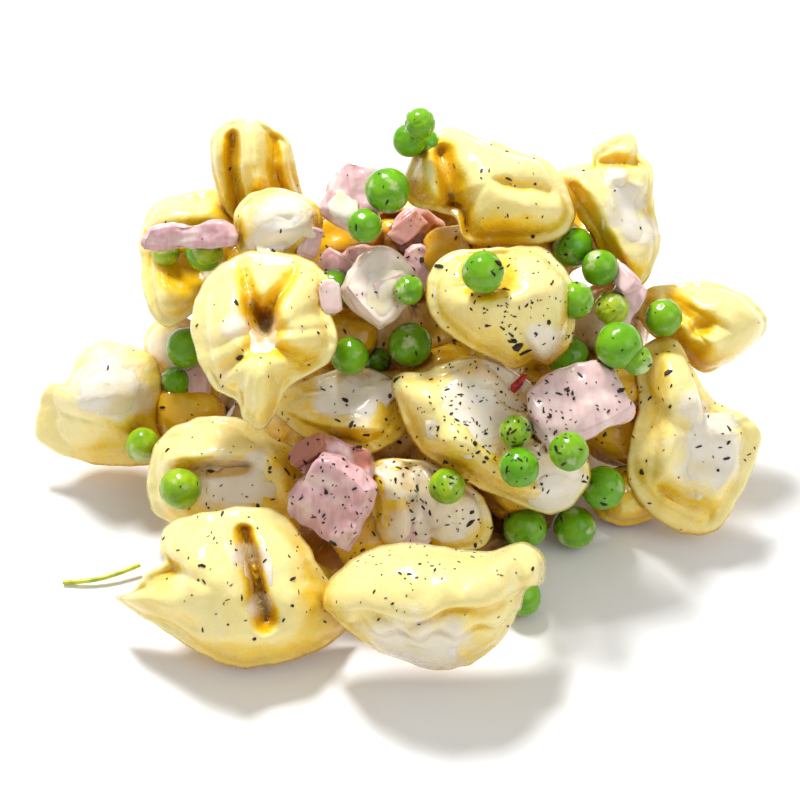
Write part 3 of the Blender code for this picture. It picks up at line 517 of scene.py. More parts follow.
# %% Fine relief and pools of each piece
FINE_RELIEF = {
    "tortellino_front": (("step", -17, -39, 21, -37, 2.6, 2.5),
        ("fold", 22, -31, 24, -37.5, 0.8, -1.4), ("fold", 25.6, -30, 27.5, -37, 0.9, 1.2),
        ("fold", -10, -38, 2, -32, 1.5, 0.9), ("fold", 8, -31, 12, -41, 2.2, 0.7),
        ("fold", 16, -32, 19, -40, 1.4, -0.8)),
    "tortellino_front_left": (("crease", -31, -27, -26, -44, 0.8, 2.0),
        ("fold", -52, -40, -40, -45, 1.2, -0.8), ("crease", -45, -35, -50, -38, 0.8, 1.0),
        ("fold", -38, -25, -40, -36, 2.0, 0.7), ("fold", -35, -48, -22, -47, 2.0, 0.6)),
    "tortellino_left": (("crease", -42, -15, -31, -14, 0.7, 1.2),
        ("fold", -24, -11, -19, -17, 0.9, 1.0), ("fold", -21, -13, -17, -19, 0.8, -1.0),
        ("crease", -46, -9, -38, -8, 0.8, 0.7)),
    "tortellino_far_left": (("fold", -62, 5, -54, 7.5, 1.0, -0.6), ("fold", -52, 6, -50, -4, 1.0, 0.6),
        ("crease", -64, -4, -50, -7, 0.9, 0.8), ("fold", -60, -1, -55, 0, 0.8, 0.5),
        ("fold", -57, 3, -52, -1, 0.7, 0.4)),
    "tortellino_upper_left": (("crease", -27, 14, -31, 25, 0.8, 1.5),
        ("crease", -26, 15, -20.5, 25, 0.8, 1.3), ("crease", -25, 12, -15, 13, 0.8, 1.2),
        ("crease", -27, 11, -29, -3, 0.8, 0.8), ("crease", -25.5, 10, -18, 5, 0.8, 1.0),
        ("fold", -16, 20, -14, 17, 0.9, -1.2), ("fold", -15, 12, -12.5, 9, 0.9, -1.0),
        ("crease", -28, 13, -36, 9, 0.9, 0.9)),
    "tortellino_back_left": (("crease", -50, 31, -33, 30.5, 1.0, 1.4),
        ("fold", -46, 36, -36, 37, 2, 0.6)),
    "tortellino_tall": (("crease", -33, 51, -32, 35, 0.8, 1.2), ("crease", -25, 51, -23, 36, 0.9, 1.2),
        ("crease", -29, 52, -28, 44, 0.7, 0.6)),
    "tortellino_pale": (("fold", -28, 36, -22, 35, 1.4, 0.6), ("fold", -24, 30, -18, 33, 1.2, 0.6)),
    "tortellino_top": (("crease", 8, 48, 12, 33, 0.9, 1.6), ("crease", 19, 40.8, 29.5, 39.6, 0.8, 0.9),
        ("fold", 14, 47, 24, 45, 2.2, 0.6), ("fold", 25, 35, 31, 36, 1.6, 0.6)),
    "tortellino_top_right": (("crease", 34, 40, 44, 24, 0.8, 1.0),
        ("crease", 39, 46, 48, 45.5, 0.8, 1.3), ("fold", 42, 42, 48, 40, 1.0, 0.8),
        ("fold", 40, 40, 42, 34, 1.0, 0.7)),
    "tortellino_middle": (("fold", 9, 26, 28, 27, 1.4, 0.7), ("crease", 12, 20.5, 21, 20.8, 0.9, 0.7),
        ("fold", 8, 15, 24, 8, 2.0, 0.6), ("fold", 27, 22, 30, 9, 1.6, 0.5)),
    "tortellino_broad": (("crease", 9, -3, 26, -17, 0.8, 1.0), ("fold", 1, 1, 5, -9, 1.6, 0.8),
        ("fold", 12, 4, 22, 1, 1.6, 0.6), ("fold", 22, -18, 34, -19, 1.2, 0.7)),
    "tortellino_shade": (("crease", -19, 0, -3, 1, 0.8, 1.0), ("fold", -20, -5, -2, -7, 1.0, 0.9)),
    "tortellino_lower": (("crease", 2, -14, 5, -30, 0.9, 1.1), ("fold", -4, -16, -3, -28, 1.4, 0.8),
        ("fold", 10, -18, 13, -28, 1.2, 0.7)),
    "tortellino_right": (("crease", 50, 5, 49, -16, 0.8, 1.0),
        ("crease", 51, -18.5, 62, -24, 0.8, 1.3), ("fold", 54, 3, 60, -5, 1.6, 0.8),
        ("fold", 61, -20, 65, -14, 1.2, 0.6)),
    "tortellino_far_right": (("crease", 52, 19.5, 58, 11, 0.8, 1.3),
        ("crease", 57, 16.5, 62, 13, 0.7, 0.9), ("fold", 62, 18, 70, 14.5, 1.4, 0.7)),
}
POOLS = {  # right, up, radius (mm) of the sauce that lies on a piece
    "tortellino_front": ((6, -49, 8), (-2, -47, 6)),
    "tortellino_front_left": ((-30, -31, 3), (-27, -41, 2.5)),
    "tortellino_left": ((-33, -18, 7), (-28, -13, 3)), "tortellino_far_left": ((-57, 4, 7), (-53, 0, 5)),
    "tortellino_upper_left": ((-26, 12.5, 3), (-32, 13, 3)), "tortellino_back_left": ((-36, 24, 3),),
    "tortellino_pale": ((-22, 34, 6), (-26, 28, 5)),
    "tortellino_top_right": ((44, 38, 5), (47, 32, 4), (42, 42, 3)),
    "tortellino_middle": ((28, 10, 4),), "tortellino_broad": ((18, 1, 9), (27, -7, 8), (31, -17, 6)),
    "tortellino_shade": ((-11, 0, 7), (-4, 2, 4)),
    "tortellino_lower": ((4, -18, 6), (12, -24, 6), (0, -26, 4)),
    "tortellino_right": ((60, -11, 8), (57, -3, 4)), "tortellino_gap_right": ((41, 14, 9),),
    "tortellino_gap_left": ((-43, 9, 7),), "tortellino_behind": ((0, 2, 6),),
}
print(sum(len(v) for v in FINE_RELIEF.values()), "fine features")

# %% [markdown]
# The height of every place of a cushion is its bulge plus the pits and folds. Noise bends the
# coordinates first, so that no crease runs dead straight.

# %% Relief
def relief_at(kinds, x, y, groove=0.0):
    """Height (mm) that pits, folds, steps and creases add at a place of the cushion."""
    total = np.zeros_like(x)
    for kind, *v in kinds:
        if kind == "pit":
            px, py, radius, depth = v
            total -= depth * np.exp(-((x - px) ** 2 + (y - py) ** 2) / radius ** 2)
            continue
        x0, y0, x1, y1, a, b = v
        length = math.hypot(x1 - x0, y1 - y0)
        ux, uy = (x1 - x0) / length, (y1 - y0) / length
        along = (x - x0) * ux + (y - y0) * uy
        off = (y - y0) * ux - (x - x0) * uy
        beyond = np.maximum(0, np.maximum(-along, along - length))
        if kind == "fold":
            total += b * np.exp(-(off / a) ** 2 - (beyond / a) ** 2)
        elif kind == "crease":
            total -= b * np.exp(-np.abs(off) / a - (beyond / 2) ** 2)
        else:
            edge = STEP_SAG * np.sin(math.pi * np.clip(along / length, 0, 1))
            edge += STEP_WAVE * np.sin(math.tau * b * along / length)
            total += a / (1 + np.exp(-(off + edge) / STEP_SOFT))
            total -= groove * np.exp(-((off + edge + 1.2) / 0.9) ** 2)
    return total


def tucked(kinds, x, y, tuck):
    """Move points just above a folded edge out over its shadow line, so that the edge overhangs."""
    x, y = x.copy(), y.copy()
    for kind, *v in kinds:
        if kind != "step":
            continue
        x0, y0, x1, y1, rise, waves = v
        length = math.hypot(x1 - x0, y1 - y0)
        ux, uy = (x1 - x0) / length, (y1 - y0) / length
        along = ((x - x0) * ux + (y - y0) * uy) / length
        edge = STEP_SAG * np.sin(math.pi * np.clip(along, 0, 1))
        edge += STEP_WAVE * np.sin(math.tau * waves * along)
        off = (y - y0) * ux - (x - x0) * uy + edge
        push = tuck * np.exp(-((off - 0.4) / 1.3) ** 2)
        x += uy * push
        y -= ux * push
    return x, y


def noise_at(points, size, seed=0):
    """Smooth noise between about -1 and 1 for points in mm, with features of the given size."""
    shift = Vector((seed * 17.3, seed * 5.1, seed * 11.7))
    return np.array([noise.noise(Vector(p) / size + shift) for p in points])


def directions(turn):
    """Right, up the slope and straight out of it, for a slope turned about the heap's axis."""
    c, s, h = math.cos(math.radians(turn)), math.sin(math.radians(turn)), math.sqrt(0.5)
    return np.array(((c, s, 0), (-s * h, c * h, h), (s * h, -c * h, h)))


print("a fold 2 mm high:", relief_at((("fold", 0, 0, 5, 0, 1, 2),), np.zeros(1), np.zeros(1)))

# %% [markdown]
# The solids in the frame use rings of few points. Their box, compared with the frame's, gives the
# size and the place of each piece exactly. The fine piece maps a square grid onto the outline, which
# leaves no pole in the middle, and its brim tapers to a thin rounded edge.

# %% From measures to points
FRONT_RINGS = (0.35, 0.65, 0.88, 1.0)
BACK_RINGS = (0.6, 1.0)
OVERHANG = 1.1              # how far (mm) a folded edge stands out over its shadow line
GROOVE = 1.0                # how deep the shadow line under a folded edge is cut
CELLS = 32                  # quads from the middle to the edge of a fine piece
EDGE_THICK = 0.45           # thickness of the brim's edge as a share of the sheet's


def middle_sheet(m, away, angle, t):
    """Height of the sheet between front and back, which lies askew, bows and flutters."""
    amp, count, phase = m["flutter"]
    sheet = m["lie"][0] * away[:, 0] + m["lie"][1] * away[:, 1]
    sheet = sheet - m["bow"][0] * away[:, 0] ** 2 - m["bow"][1] * away[:, 1] ** 2
    return sheet + amp * np.sin(count * angle + phase) * t ** 3


def coarse_points(outline, own):
    """The points of the frame's solid, in mm, before it was sized and laid."""
    m = {**USUAL, **own}
    edge = np.array(outline, float) * m["size"]
    middle = (edge.max(0) + edge.min(0)) / 2
    reach = np.hypot(*(edge - middle).T)
    angle = np.arctan2(*(edge - middle).T[::-1])
    belly_at = 1 - m["brim"] / reach
    points = []
    for side, shares in ((1, (0, *FRONT_RINGS)), (-1, (0, *BACK_RINGS))):
        full = m["belly"] if side > 0 else m["back"]
        for t, f in [(belly_at * f, f) for f in shares] + [(np.ones(len(edge)), 1.0)]:
            away = (edge - middle) * np.reshape(t, (-1, 1))
            x, y = (middle + away).T
            bulge = m["sheet"] / 2 + full * max(0, 1 - f * f) ** 0.6
            if side > 0:
                raised = relief_at(m["relief"], x, y) * (1 - t ** 6)
                under = m["sheet"] / 2 + m["back"] * max(0, 1 - f * f) ** 0.6
                bulge = np.maximum(bulge + raised, THINNEST - under)
            points.append(np.stack([x, y, middle_sheet(m, away, angle, t) + side * bulge], -1))
    return np.concatenate(points), middle


def smooth_outline(edge, steps=8):
    """A closed curve through the points, each span a Catmull-Rom spline."""
    a, b, c, d = (np.roll(edge, k, 0)[:, None] for k in (1, 0, -1, -2))
    t = np.linspace(0, 1, steps, endpoint=False)[None, :, None]
    square, cube = 2 * a - 5 * b + 4 * c - d, 3 * b - a - 3 * c + d
    curve = 0.5 * (2 * b + (c - a) * t + square * t ** 2 + cube * t ** 3)
    return curve.reshape(-1, 2)


def fine_points(name, outline, own, seed):
    """Points of both sides of the fine piece, and the attributes that its material reads."""
    m = {**USUAL, **own}
    edge = np.array(outline, float) * m["size"]
    middle = (edge.max(0) + edge.min(0)) / 2
    curve = smooth_outline(edge) - middle
    bearing = np.arctan2(curve[:, 1], curve[:, 0])
    order = np.argsort(bearing)
    radius = np.hypot(*curve.T)
    side = np.linspace(-1, 1, 2 * CELLS + 1)
    a, b = (v.ravel() for v in np.meshgrid(side, side, indexing="ij"))
    t = np.maximum(np.abs(a), np.abs(b))
    angle = np.arctan2(b, a)
    reach = np.interp(angle, bearing[order], radius[order], period=math.tau)
    ring = np.stack([np.cos(angle), np.sin(angle), np.zeros_like(angle)], -1)
    round_it = ring * reach[:, None]
    brim = m["brim"] * (1 + 0.9 * noise_at(round_it, 9, seed + 7))
    wavy = 0.9 * noise_at(round_it, 4.5, seed + 8) + 0.35 * noise_at(round_it, 1.9, seed + 9)
    reach = reach + 0.4 * noise_at(round_it, 3, seed) * t ** 4
    away = ring[:, :2] * (reach * t)[:, None]
    x, y = (middle + away).T
    flat = np.stack([x, y, 0 * x], -1)
    bent_x = x + 0.7 * noise_at(flat, 5, seed + 1)
    bent_y = y + 0.7 * noise_at(flat, 5, seed + 2)
    inside = np.clip(t / (1 - brim / reach), 0, 1)
    sheet = middle_sheet(m, away, angle, t)
    sheet = sheet + wavy * t ** 6
    taper = np.clip((t - 0.8) / 0.2, 0, 1)
    rim = np.sqrt(np.clip(1 - np.clip((t - 0.94) / 0.06, 0, 1) ** 2, 0, 1))
    thick = m["sheet"] / 2 * (1 - (1 - EDGE_THICK) * taper) * rim
    lumps = 0.9 * noise_at(flat, 6.5, seed + 3) + 0.35 * noise_at(flat, 2.6, seed + 4)
    plump = (1 - inside ** 2) ** 0.7
    fine = relief_at(FINE_RELIEF.get(name, ()), bent_x, bent_y, GROOVE)
    coarse = relief_at(m["relief"], bent_x, bent_y, GROOVE)
    raised = (coarse + fine + lumps * (0.3 + 0.7 * plump)) * (1 - t ** 6)
    under = -thick - m["back"] * plump - 0.5 * lumps * plump
    over = np.maximum(thick + m["belly"] * plump + raised, under + THINNEST * rim)
    pool = np.zeros_like(x)
    ragged = 0.45 * noise_at(flat, 4, seed + 5) + 0.15 * noise_at(flat, 1.2, seed + 6)
    for px, py, size in POOLS.get(name, ()):
        pool = np.maximum(pool, 1.25 - np.hypot(x - px, y - py) / size + ragged)
    over_x, over_y = tucked((*m["relief"], *FINE_RELIEF.get(name, ())), x, y, OVERHANG)
    front = np.stack([over_x, over_y, sheet + over], -1)
    back = np.stack([x, y, sheet + under], -1)
    return front, back, np.clip(pool, 0, 1), t, np.clip(-(raised - lumps), 0, 2) / 2


print("fine grid:", (2 * CELLS + 1) ** 2, "points a side")

# %% [markdown]
# Front and back share the points of the edge, so the mesh is closed.

# %% From points to a finished piece
def new_piece(name, mesh, material, slot, *nodes):
    """Put a mesh in the scene as a piece that stands for the given nodes; the table stops it below."""
    made = bpy.data.objects.new(name, mesh)
    bpy.context.scene.collection.objects.link(made)
    places = arrays(mesh)[0]
    places[:, 2] = places[:, 2].clip(0)
    mesh.vertices.foreach_set("co", places.ravel())
    mesh.update()
    mesh.materials.clear()
    mesh.materials.append(material)
    mesh.shade_smooth()
    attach(made, "root")
    if nodes:
        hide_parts(*nodes)
    return made


def store(mesh, **values):
    """Write one float attribute for each named list of values."""
    for key, value in values.items():
        layer = mesh.attributes.get(key) or mesh.attributes.new(key, "FLOAT", "POINT")
        layer.data.foreach_set("value", np.asarray(value, np.float32).ravel())


def outward(mesh):
    """Weld points that coincide and turn all faces outwards."""
    bm = bmesh.new()
    bm.from_mesh(mesh)
    bmesh.ops.remove_doubles(bm, verts=bm.verts, dist=0.005 * MM)
    bmesh.ops.recalc_face_normals(bm, faces=bm.faces)
    bm.to_mesh(mesh)
    bm.free()
    return mesh


def mesh_from(name, points, faces):
    mesh = bpy.data.meshes.new(name)
    mesh.from_pydata(np.asarray(points).reshape(-1, 3).tolist(), [], faces)
    return mesh


def with_modifiers(mesh, *modifiers):
    """The mesh after a stack of modifiers, each given as (type, settings)."""
    made = bpy.data.objects.new("working", mesh)
    bpy.context.scene.collection.objects.link(made)
    for kind, settings in modifiers:
        modifier = made.modifiers.new(kind, kind)
        for key, value in settings.items():
            setattr(modifier, key, value)
    graph = bpy.context.evaluated_depsgraph_get()
    result = bpy.data.meshes.new_from_object(made.evaluated_get(graph), depsgraph=graph)
    bpy.data.objects.remove(made)
    return result


def arrays(mesh):
    """Vertex places and normals of a mesh."""
    count = len(mesh.vertices)
    places, normals = np.empty(count * 3), np.empty(count * 3)
    mesh.vertices.foreach_get("co", places)
    mesh.vertices.foreach_get("normal", normals)
    return places.reshape(-1, 3), normals.reshape(-1, 3)


def dent(mesh, *layers):
    """Press noise into a mesh along its normals; each layer is (size mm, depth mm)."""
    places, normals = arrays(mesh)
    for size, depth in layers:
        places = places + normals * (noise_at(places / MM, size) * depth * MM)[:, None]
    mesh.vertices.foreach_set("co", places.ravel())
    mesh.update()


def tortellino(name, outline, own, seed):
    """Size and lay the fine piece where the frame's solid lies."""
    ways = directions(own.get("turn", 0))
    coarse, middle = coarse_points(outline, own)
    coarse = (coarse - np.array((*middle, 0))) @ ways
    low, high = (np.array(v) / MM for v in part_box(name))
    size = (high - low).max() / (coarse.max(0) - coarse.min(0))[(high - low).argmax()]
    shift = (low + high) / 2 - (coarse.max(0) + coarse.min(0)) / 2 * size
    front, back, pool, t, sunk = fine_points(name, outline, own, seed)
    points = (np.concatenate([front, back]) - np.array((*middle, 0))) @ ways * size + shift
    wide = 2 * CELLS + 1
    i, j = (v.ravel() for v in np.meshgrid(np.arange(wide - 1), np.arange(wide - 1), indexing="ij"))
    corner = i * wide + j
    quads = np.stack([corner, corner + wide, corner + wide + 1, corner + 1], -1)
    other = quads[:, ::-1] + wide * wide
    on_edge = t > 0.9999
    same = np.arange(2 * wide * wide)
    same[wide * wide:][on_edge] = np.nonzero(on_edge)[0]
    faces = same[np.concatenate([quads, other])]
    used, compact = np.unique(faces, return_inverse=True)
    mesh = mesh_from(name + "_pasta", points[used] * MM, compact.reshape(faces.shape).tolist())
    # The sunk value carries painted shade: the deeper a point lies in a fold, the deeper its colour.
    store(mesh, pool=np.concatenate([pool, 0 * pool])[used], edge=np.tile(t, 2)[used],
          sunk=0.6 * np.concatenate([sunk, 0 * sunk])[used])
    mesh = outward(mesh)
    return new_piece(name + "_pasta", mesh, PASTA, "pasta", name)


pasta = {name: tortellino(name, *measures, seed) for seed, (name, measures) in enumerate(TORTELLINI.items())}
print(len(pasta), "tortellini of", len(pasta["tortellino_top"].data.vertices), "vertices each")

# %% [markdown]
# ## Peas and ham
#
# A pea starts as an icosphere. A shallow wrinkle and a slight flat make each one its own, and the
# seam where it sat on the pod shows as a tiny pit. Ham starts from the frame's own block, which
# gets finer faces, rounded corners and the dents of torn meat.

# %% Peas
dice = random.Random(7)
PEA_NAMES = sorted(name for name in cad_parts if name.startswith("pea_"))


def pea_mesh(name, centre, across, ripeness):
    bm = bmesh.new()
    bmesh.ops.create_icosphere(bm, subdivisions=5, radius=1)
    seed = Vector((dice.uniform(0, 50), dice.uniform(0, 50), dice.uniform(0, 50)))
    pit = Vector((dice.uniform(-1, 1), dice.uniform(-1, 0), dice.uniform(0, 1))).normalized()
    wrinkled = dice.random() ** 3
    for v in bm.verts:
        n = v.co.normalized()
        swell = 0.045 * noise.noise(n * 1.3 + seed) + 0.012 * noise.noise(n * 4 + seed)
        crease = -0.07 * wrinkled * max(0, noise.noise(n * 2.4 + seed * 2) * 2) ** 1.5
        pitted = -0.05 * math.exp(-(n - pit).length_squared / 0.02)
        v.co = centre + n * across / 2 * (1 + swell + crease + pitted)
    mesh = bpy.data.meshes.new(name)
    bm.to_mesh(mesh)
    bm.free()
    store(mesh, ripeness=[ripeness] * len(mesh.vertices))
    return mesh


peas = {}
for name in PEA_NAMES:
    low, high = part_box(name)
    ripeness = dice.choice((0.05, 0.1, 0.15, 0.25, 0.6))
    mesh = pea_mesh(name + "_skin", (low + high) / 2, high.x - low.x, ripeness)
    peas[name] = new_piece(name + "_skin", mesh, PEA, "pea", name)
print(len(peas), "peas")

# %% Ham
HAM_LOOKS = {  # how pale the meat is, how brown its edge
    "ham_strip": (0.0, 0.1), "ham_back": (0.05, 0.35), "ham_upper": (0.1, 0.1), "ham_dark": (0.0, 0.9),
    "ham_edge": (0.1, 0.3), "ham_pale": (0.85, 0.1), "ham_front": (0.0, 0.1), "ham_under": (0.0, 1.0),
    "ham_right": (0.35, 0.0), "ham_far": (0.3, 0.1),
}


FINER = (("SUBSURF", dict(levels=3, render_levels=3, subdivision_type="SIMPLE")),
         ("SMOOTH", dict(factor=0.5, iterations=6)))


def ham_piece(name, pale, rind):
    """The frame's block with finer faces, rounded corners and the dents of torn meat."""
    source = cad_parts[name].data.copy()
    mesh = with_modifiers(outward(source), *FINER)
    dent(mesh, (6, 1.1), (2.5, 0.5), (0.8, 0.08))
    places = arrays(mesh)[0]
    spots = np.array([noise.noise(Vector(p) * per(3.5)) for p in places])
    edge = np.clip(rind * (0.6 + spots * 1.6), 0, 1)
    store(mesh, pale=[pale] * len(places), rind=edge)
    return new_piece(name + "_cut", mesh, HAM, "ham", name)


ham = {name: ham_piece(name, *looks) for name, looks in HAM_LOOKS.items()}
print(len(ham), "pieces of ham")

# %% [markdown]
# ## What lies inside the heap
#
# Between the pieces the eye meets more pasta and sauce, never the table. The frame's core is that
# hidden mass. It gets finer faces and the relief of pasta lying under sauce: soft pillows, each
# round a seed, with creases where two meet.

# %% Finer core
PILLOW = 4.5 * MM           # how far a pillow stands above the creases round it
PILLOW_WIDE = 17 * MM
SEEDS = 34

def mound():
    """The core with pillows of pasta in its surface."""
    mesh = with_modifiers(outward(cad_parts["core"].data.copy()), *FINER)
    places, normals = arrays(mesh)
    seeds = [places[dice.randrange(len(places))]]
    while len(seeds) < SEEDS:
        tries = places[[dice.randrange(len(places)) for _ in range(12)]]
        gap = np.linalg.norm(tries[:, None] - np.array(seeds)[None], axis=2).min(1)
        seeds.append(tries[gap.argmax()])
    seeds = np.array(seeds)
    far = np.sort(np.linalg.norm(places[:, None] - seeds[None], axis=2), 1)
    pillow = np.clip((far[:, 1] - far[:, 0]) / PILLOW_WIDE, 0, 1)
    pillow = pillow * (2 - pillow) + 0.12 * noise_at(places / MM, 6) + 0.05 * noise_at(places / MM, 2.5)
    places = places + normals * ((pillow - 1) * PILLOW)[:, None]
    places[:, 2] = np.where(places[:, 2] < 0.5 * MM, 0, places[:, 2])
    mesh.vertices.foreach_set("co", places.ravel())
    mesh.update()
    patches = np.clip(0.6 + noise_at(places / MM, 12), 0, 1)
    # Painted shade: the core's sunk value makes all of it darker than open pasta, darkest in the creases
    # between pillows.
    store(mesh, sunk=0.6 + 1.8 * np.clip(0.7 - pillow, 0, 1), pool=0.5 * patches, edge=0 * pillow)
    return new_piece("sauced_core", mesh, PASTA, "core", "core")


inside = mound()
print("the core has", len(inside.data.polygons), "faces")

# %% [markdown]
# ## Scraps between the pieces
#
# Smaller peas and torn bits of ham lie in the gaps. They are laid where the line of sight through a
# point of the slope meets the heap, sunk a little into what is there. Scraps of pasta lie deeper,
# at a stated distance out of the slope, where a look between the pieces would else reach the table.

# %% Find the heap from the eye
FROM_EYE = camera.location.copy()


def gathered(pieces):
    """One list of points and one of faces for several pieces."""
    points, faces, count = [], [], 0
    for made in pieces:
        places = arrays(made.data)[0]
        points.append(places)
        faces += [[v + count for v in face.vertices] for face in made.data.polygons]
        count += len(places)
    return np.concatenate(points), faces


def tree_of(pieces):
    """A tree for rays over several pieces."""
    points, faces = gathered(pieces)
    return BVHTree.FromPolygons(points.tolist(), faces)


def seen_at(right, up, tree):
    """Where the line of sight through a point of the front slope meets the heap."""
    aim = LOOK_AT + RIGHT * right * MM + UP_SLOPE * up * MM
    place, normal, _, _ = tree.ray_cast(FROM_EYE, (aim - FROM_EYE).normalized())
    return place, normal


SMALL_PEAS = [  # right, up, across (mm), ripeness
    (-4.5, 7.8, 5.5, 0.1), (-41.8, -1.6, 7.5, 0.1), (-49.8, 15.3, 5, 0.2), (41.6, 18, 6.5, 1.0),
    (34.3, 19.6, 7, 0.2), (40.4, -6.9, 5.5, 0.0), (-37.8, 29.5, 6, 0.9), (-12.7, 33.7, 4.5, 0.7),
    (46.5, 7.8, 5.5, 0.3), (-44.1, 3.5, 6, 0.1), (5, 50, 6, 0.0), (-46, 29, 5.5, 0.9),
]
HAM_SCRAPS = [  # right, up, long, wide, turn (degrees), pale, rind
    (-17.8, 31, 6, 4, 80, 0.1, 0.2), (-8.8, 14.3, 9, 6, 30, 0.0, 0.8), (-39.6, 3.1, 6.5, 5, 100, 0.2, 0.2),
    (36.7, 22, 5.5, 4.5, 10, 0.2, 0.1), (3.9, -25.5, 8, 6, 60, 0.3, 0.2), (-12, 26, 8, 5, 140, 0.1, 0.3),
    (-2, 22, 6, 4, 20, 0.3, 0.3), (1.5, 33.5, 7, 4, 45, 0.1, 0.6), (-14, 20, 6, 4.5, 110, 0.4, 0.1),
    (43.5, 24, 7, 4, 120, 0.2, 0.1), (-18, -10, 8, 4, 10, 0.0, 0.9),
]
PASTA_SCRAPS = [  # right, up, out of the slope, half long, half wide, half high (mm), turn
    (-11, 30, 0, 9, 6, 6, 10), (2, 29, -3, 9, 6, 6, -15), (14, 29, 7, 9, 6, 7, 5), (27, 30, 5, 9, 7, 7, -10),
    (44, -7, 1, 6, 8, 5, 70), (43, 3, 5, 6, 6, 6, 0), (-42, -3, -5, 7, 7, 6, 40), (23, -17, 6, 8, 6, 6, 0),
    (-6, -26, 8, 7, 7, 6, 30), (-12, 12, 4, 8, 6, 6, 0), (8, 4, 5, 9, 6, 6, 20),
]
print(len(SMALL_PEAS), "small peas and", len(HAM_SCRAPS), "scraps of ham to lay")

# %% Lay them
laid = [*pasta.values(), *peas.values(), *ham.values()]
heap_tree = tree_of([*laid, inside])


def scrap_mesh(place, normal, long_, wide, turn, high=2.6, square=0.45):
    """A soft torn block that lies on the heap."""
    bm = bmesh.new()
    bmesh.ops.create_icosphere(bm, subdivisions=4, radius=1)
    stand = Vector((0, 0, 1)).rotation_difference((normal + OFF_SLOPE).normalized()).to_matrix()
    stand = stand @ Matrix.Rotation(math.radians(turn), 3, "Z")
    for v in bm.verts:
        soft = Vector([math.copysign(abs(c) ** square, c) for c in v.co])
        size = Vector((long_ / 2, wide / 2, high / 2)) * (1 + 0.25 * noise.noise(v.co * 1.5 + place / MM))
        v.co = place + stand @ Vector([a * b * MM for a, b in zip(soft, size)])
    mesh = bpy.data.meshes.new("scrap")
    bm.to_mesh(mesh)
    bm.free()
    return mesh


def joined(meshes):
    """One mesh made of several, with their attributes."""
    bm = bmesh.new()
    for mesh in meshes:
        bm.from_mesh(mesh)
    result = bpy.data.meshes.new("joined")
    bm.to_mesh(result)
    bm.free()
    return result


def lay_scraps():
    green, meat, dough = [], [], []
    for number, (right, up, across, ripeness) in enumerate(SMALL_PEAS):
        place, normal = seen_at(right, up, heap_tree)
        if place is not None:
            centre = place - OFF_SLOPE * across * 0.1 * MM
            green.append(pea_mesh(f"small_pea_{number}", centre, across * MM, ripeness))
    for right, up, long_, wide, turn, pale, rind in HAM_SCRAPS:
        place, normal = seen_at(right, up, heap_tree)
        if place is not None:
            mesh = scrap_mesh(place, normal, long_, wide, turn)
            count = len(mesh.vertices)
            store(mesh, pale=[pale] * count, rind=[rind] * count)
            meat.append(mesh)
    for right, up, out, long_, wide, high, turn in PASTA_SCRAPS:
        nearer = 1 - out * MM / DISTANCE
        place = LOOK_AT + (RIGHT * right + UP_SLOPE * up) * nearer * MM + OFF_SLOPE * out * MM
        mesh = scrap_mesh(place, OFF_SLOPE, 2 * long_, 2 * wide, turn, 2 * high, 0.9)
        count = len(mesh.vertices)
        # Painted shade: the pasta scraps take the deep colour of pasta in a fold.
        store(mesh, pool=[0.1] * count, edge=[0.0] * count, sunk=[1.3] * count)
        dough.append(mesh)
    scraps = (new_piece("pasta_scraps", joined(dough), PASTA, "pasta"),
              new_piece("small_peas", joined(green), PEA, "pea"),
              new_piece("ham_scraps", joined(meat), HAM, "ham"))
    return scraps, len(green), len(meat)


(pasta_scraps, small_peas, ham_scraps), green_count, meat_count = lay_scraps()
laid += [small_peas, ham_scraps, pasta_scraps]
print("laid", green_count, "small peas,", meat_count, "scraps of ham and", len(PASTA_SCRAPS), "of pasta")

# %% [markdown]
# ## Sauce in the hollows
#
# Cream stands where it cannot run off. Each pool is a grid of sight lines over an oval. The
# distances to the heap are smoothed, which bridges the small gaps, and the sheet is then lifted in
# the middle and sunk at its ragged border, so it meets the pasta as a liquid does.

# %% Pools of sauce
POOL_CELLS = 40
POOL_LIFT, POOL_SINK = 0.35, 1.3     # mm above the heap in the middle, below it at the border
DEEPEST = 3.0                        # mm: holes deeper than this are left open
LOWEST = -0.6                        # value of the lift at which the border is fully sunk
BLUR = 14                            # rounds of averaging that flatten the surface of a pool
EDGE_BLUR = 8                        # rounds that keep a pool away from open holes

SAUCE_POOLS = [  # right, up, half width, half height (mm)
    (-9, 1.2, 10, 4.5), (17, -3.5, 12, 8), (31, -18.5, 6, 4.5), (-31, -17, 7, 4), (41, 14, 7, 6),
    (44.5, 37, 5, 6), (62, -11, 6, 8.5), (5.5, -22, 3, 6.5), (-15, 36.5, 7, 5), (-27, 12, 3, 3.2),
    (-1, -49, 12, 4), (-28, -33, 3, 5), (-56, 2, 6.5, 5), (0.5, 20, 7, 6), (-2, -16, 6, 4),
    (-24, 31, 5, 5), (8, -28, 5, 4),
]


def blurred(values, times):
    """Average each cell with its four neighbours, again and again."""
    for _ in range(times):
        padded = np.pad(values, 1, mode="edge")
        values = (padded[:-2, 1:-1] + padded[2:, 1:-1] + padded[1:-1, :-2] + padded[1:-1, 2:]) / 4
    return values


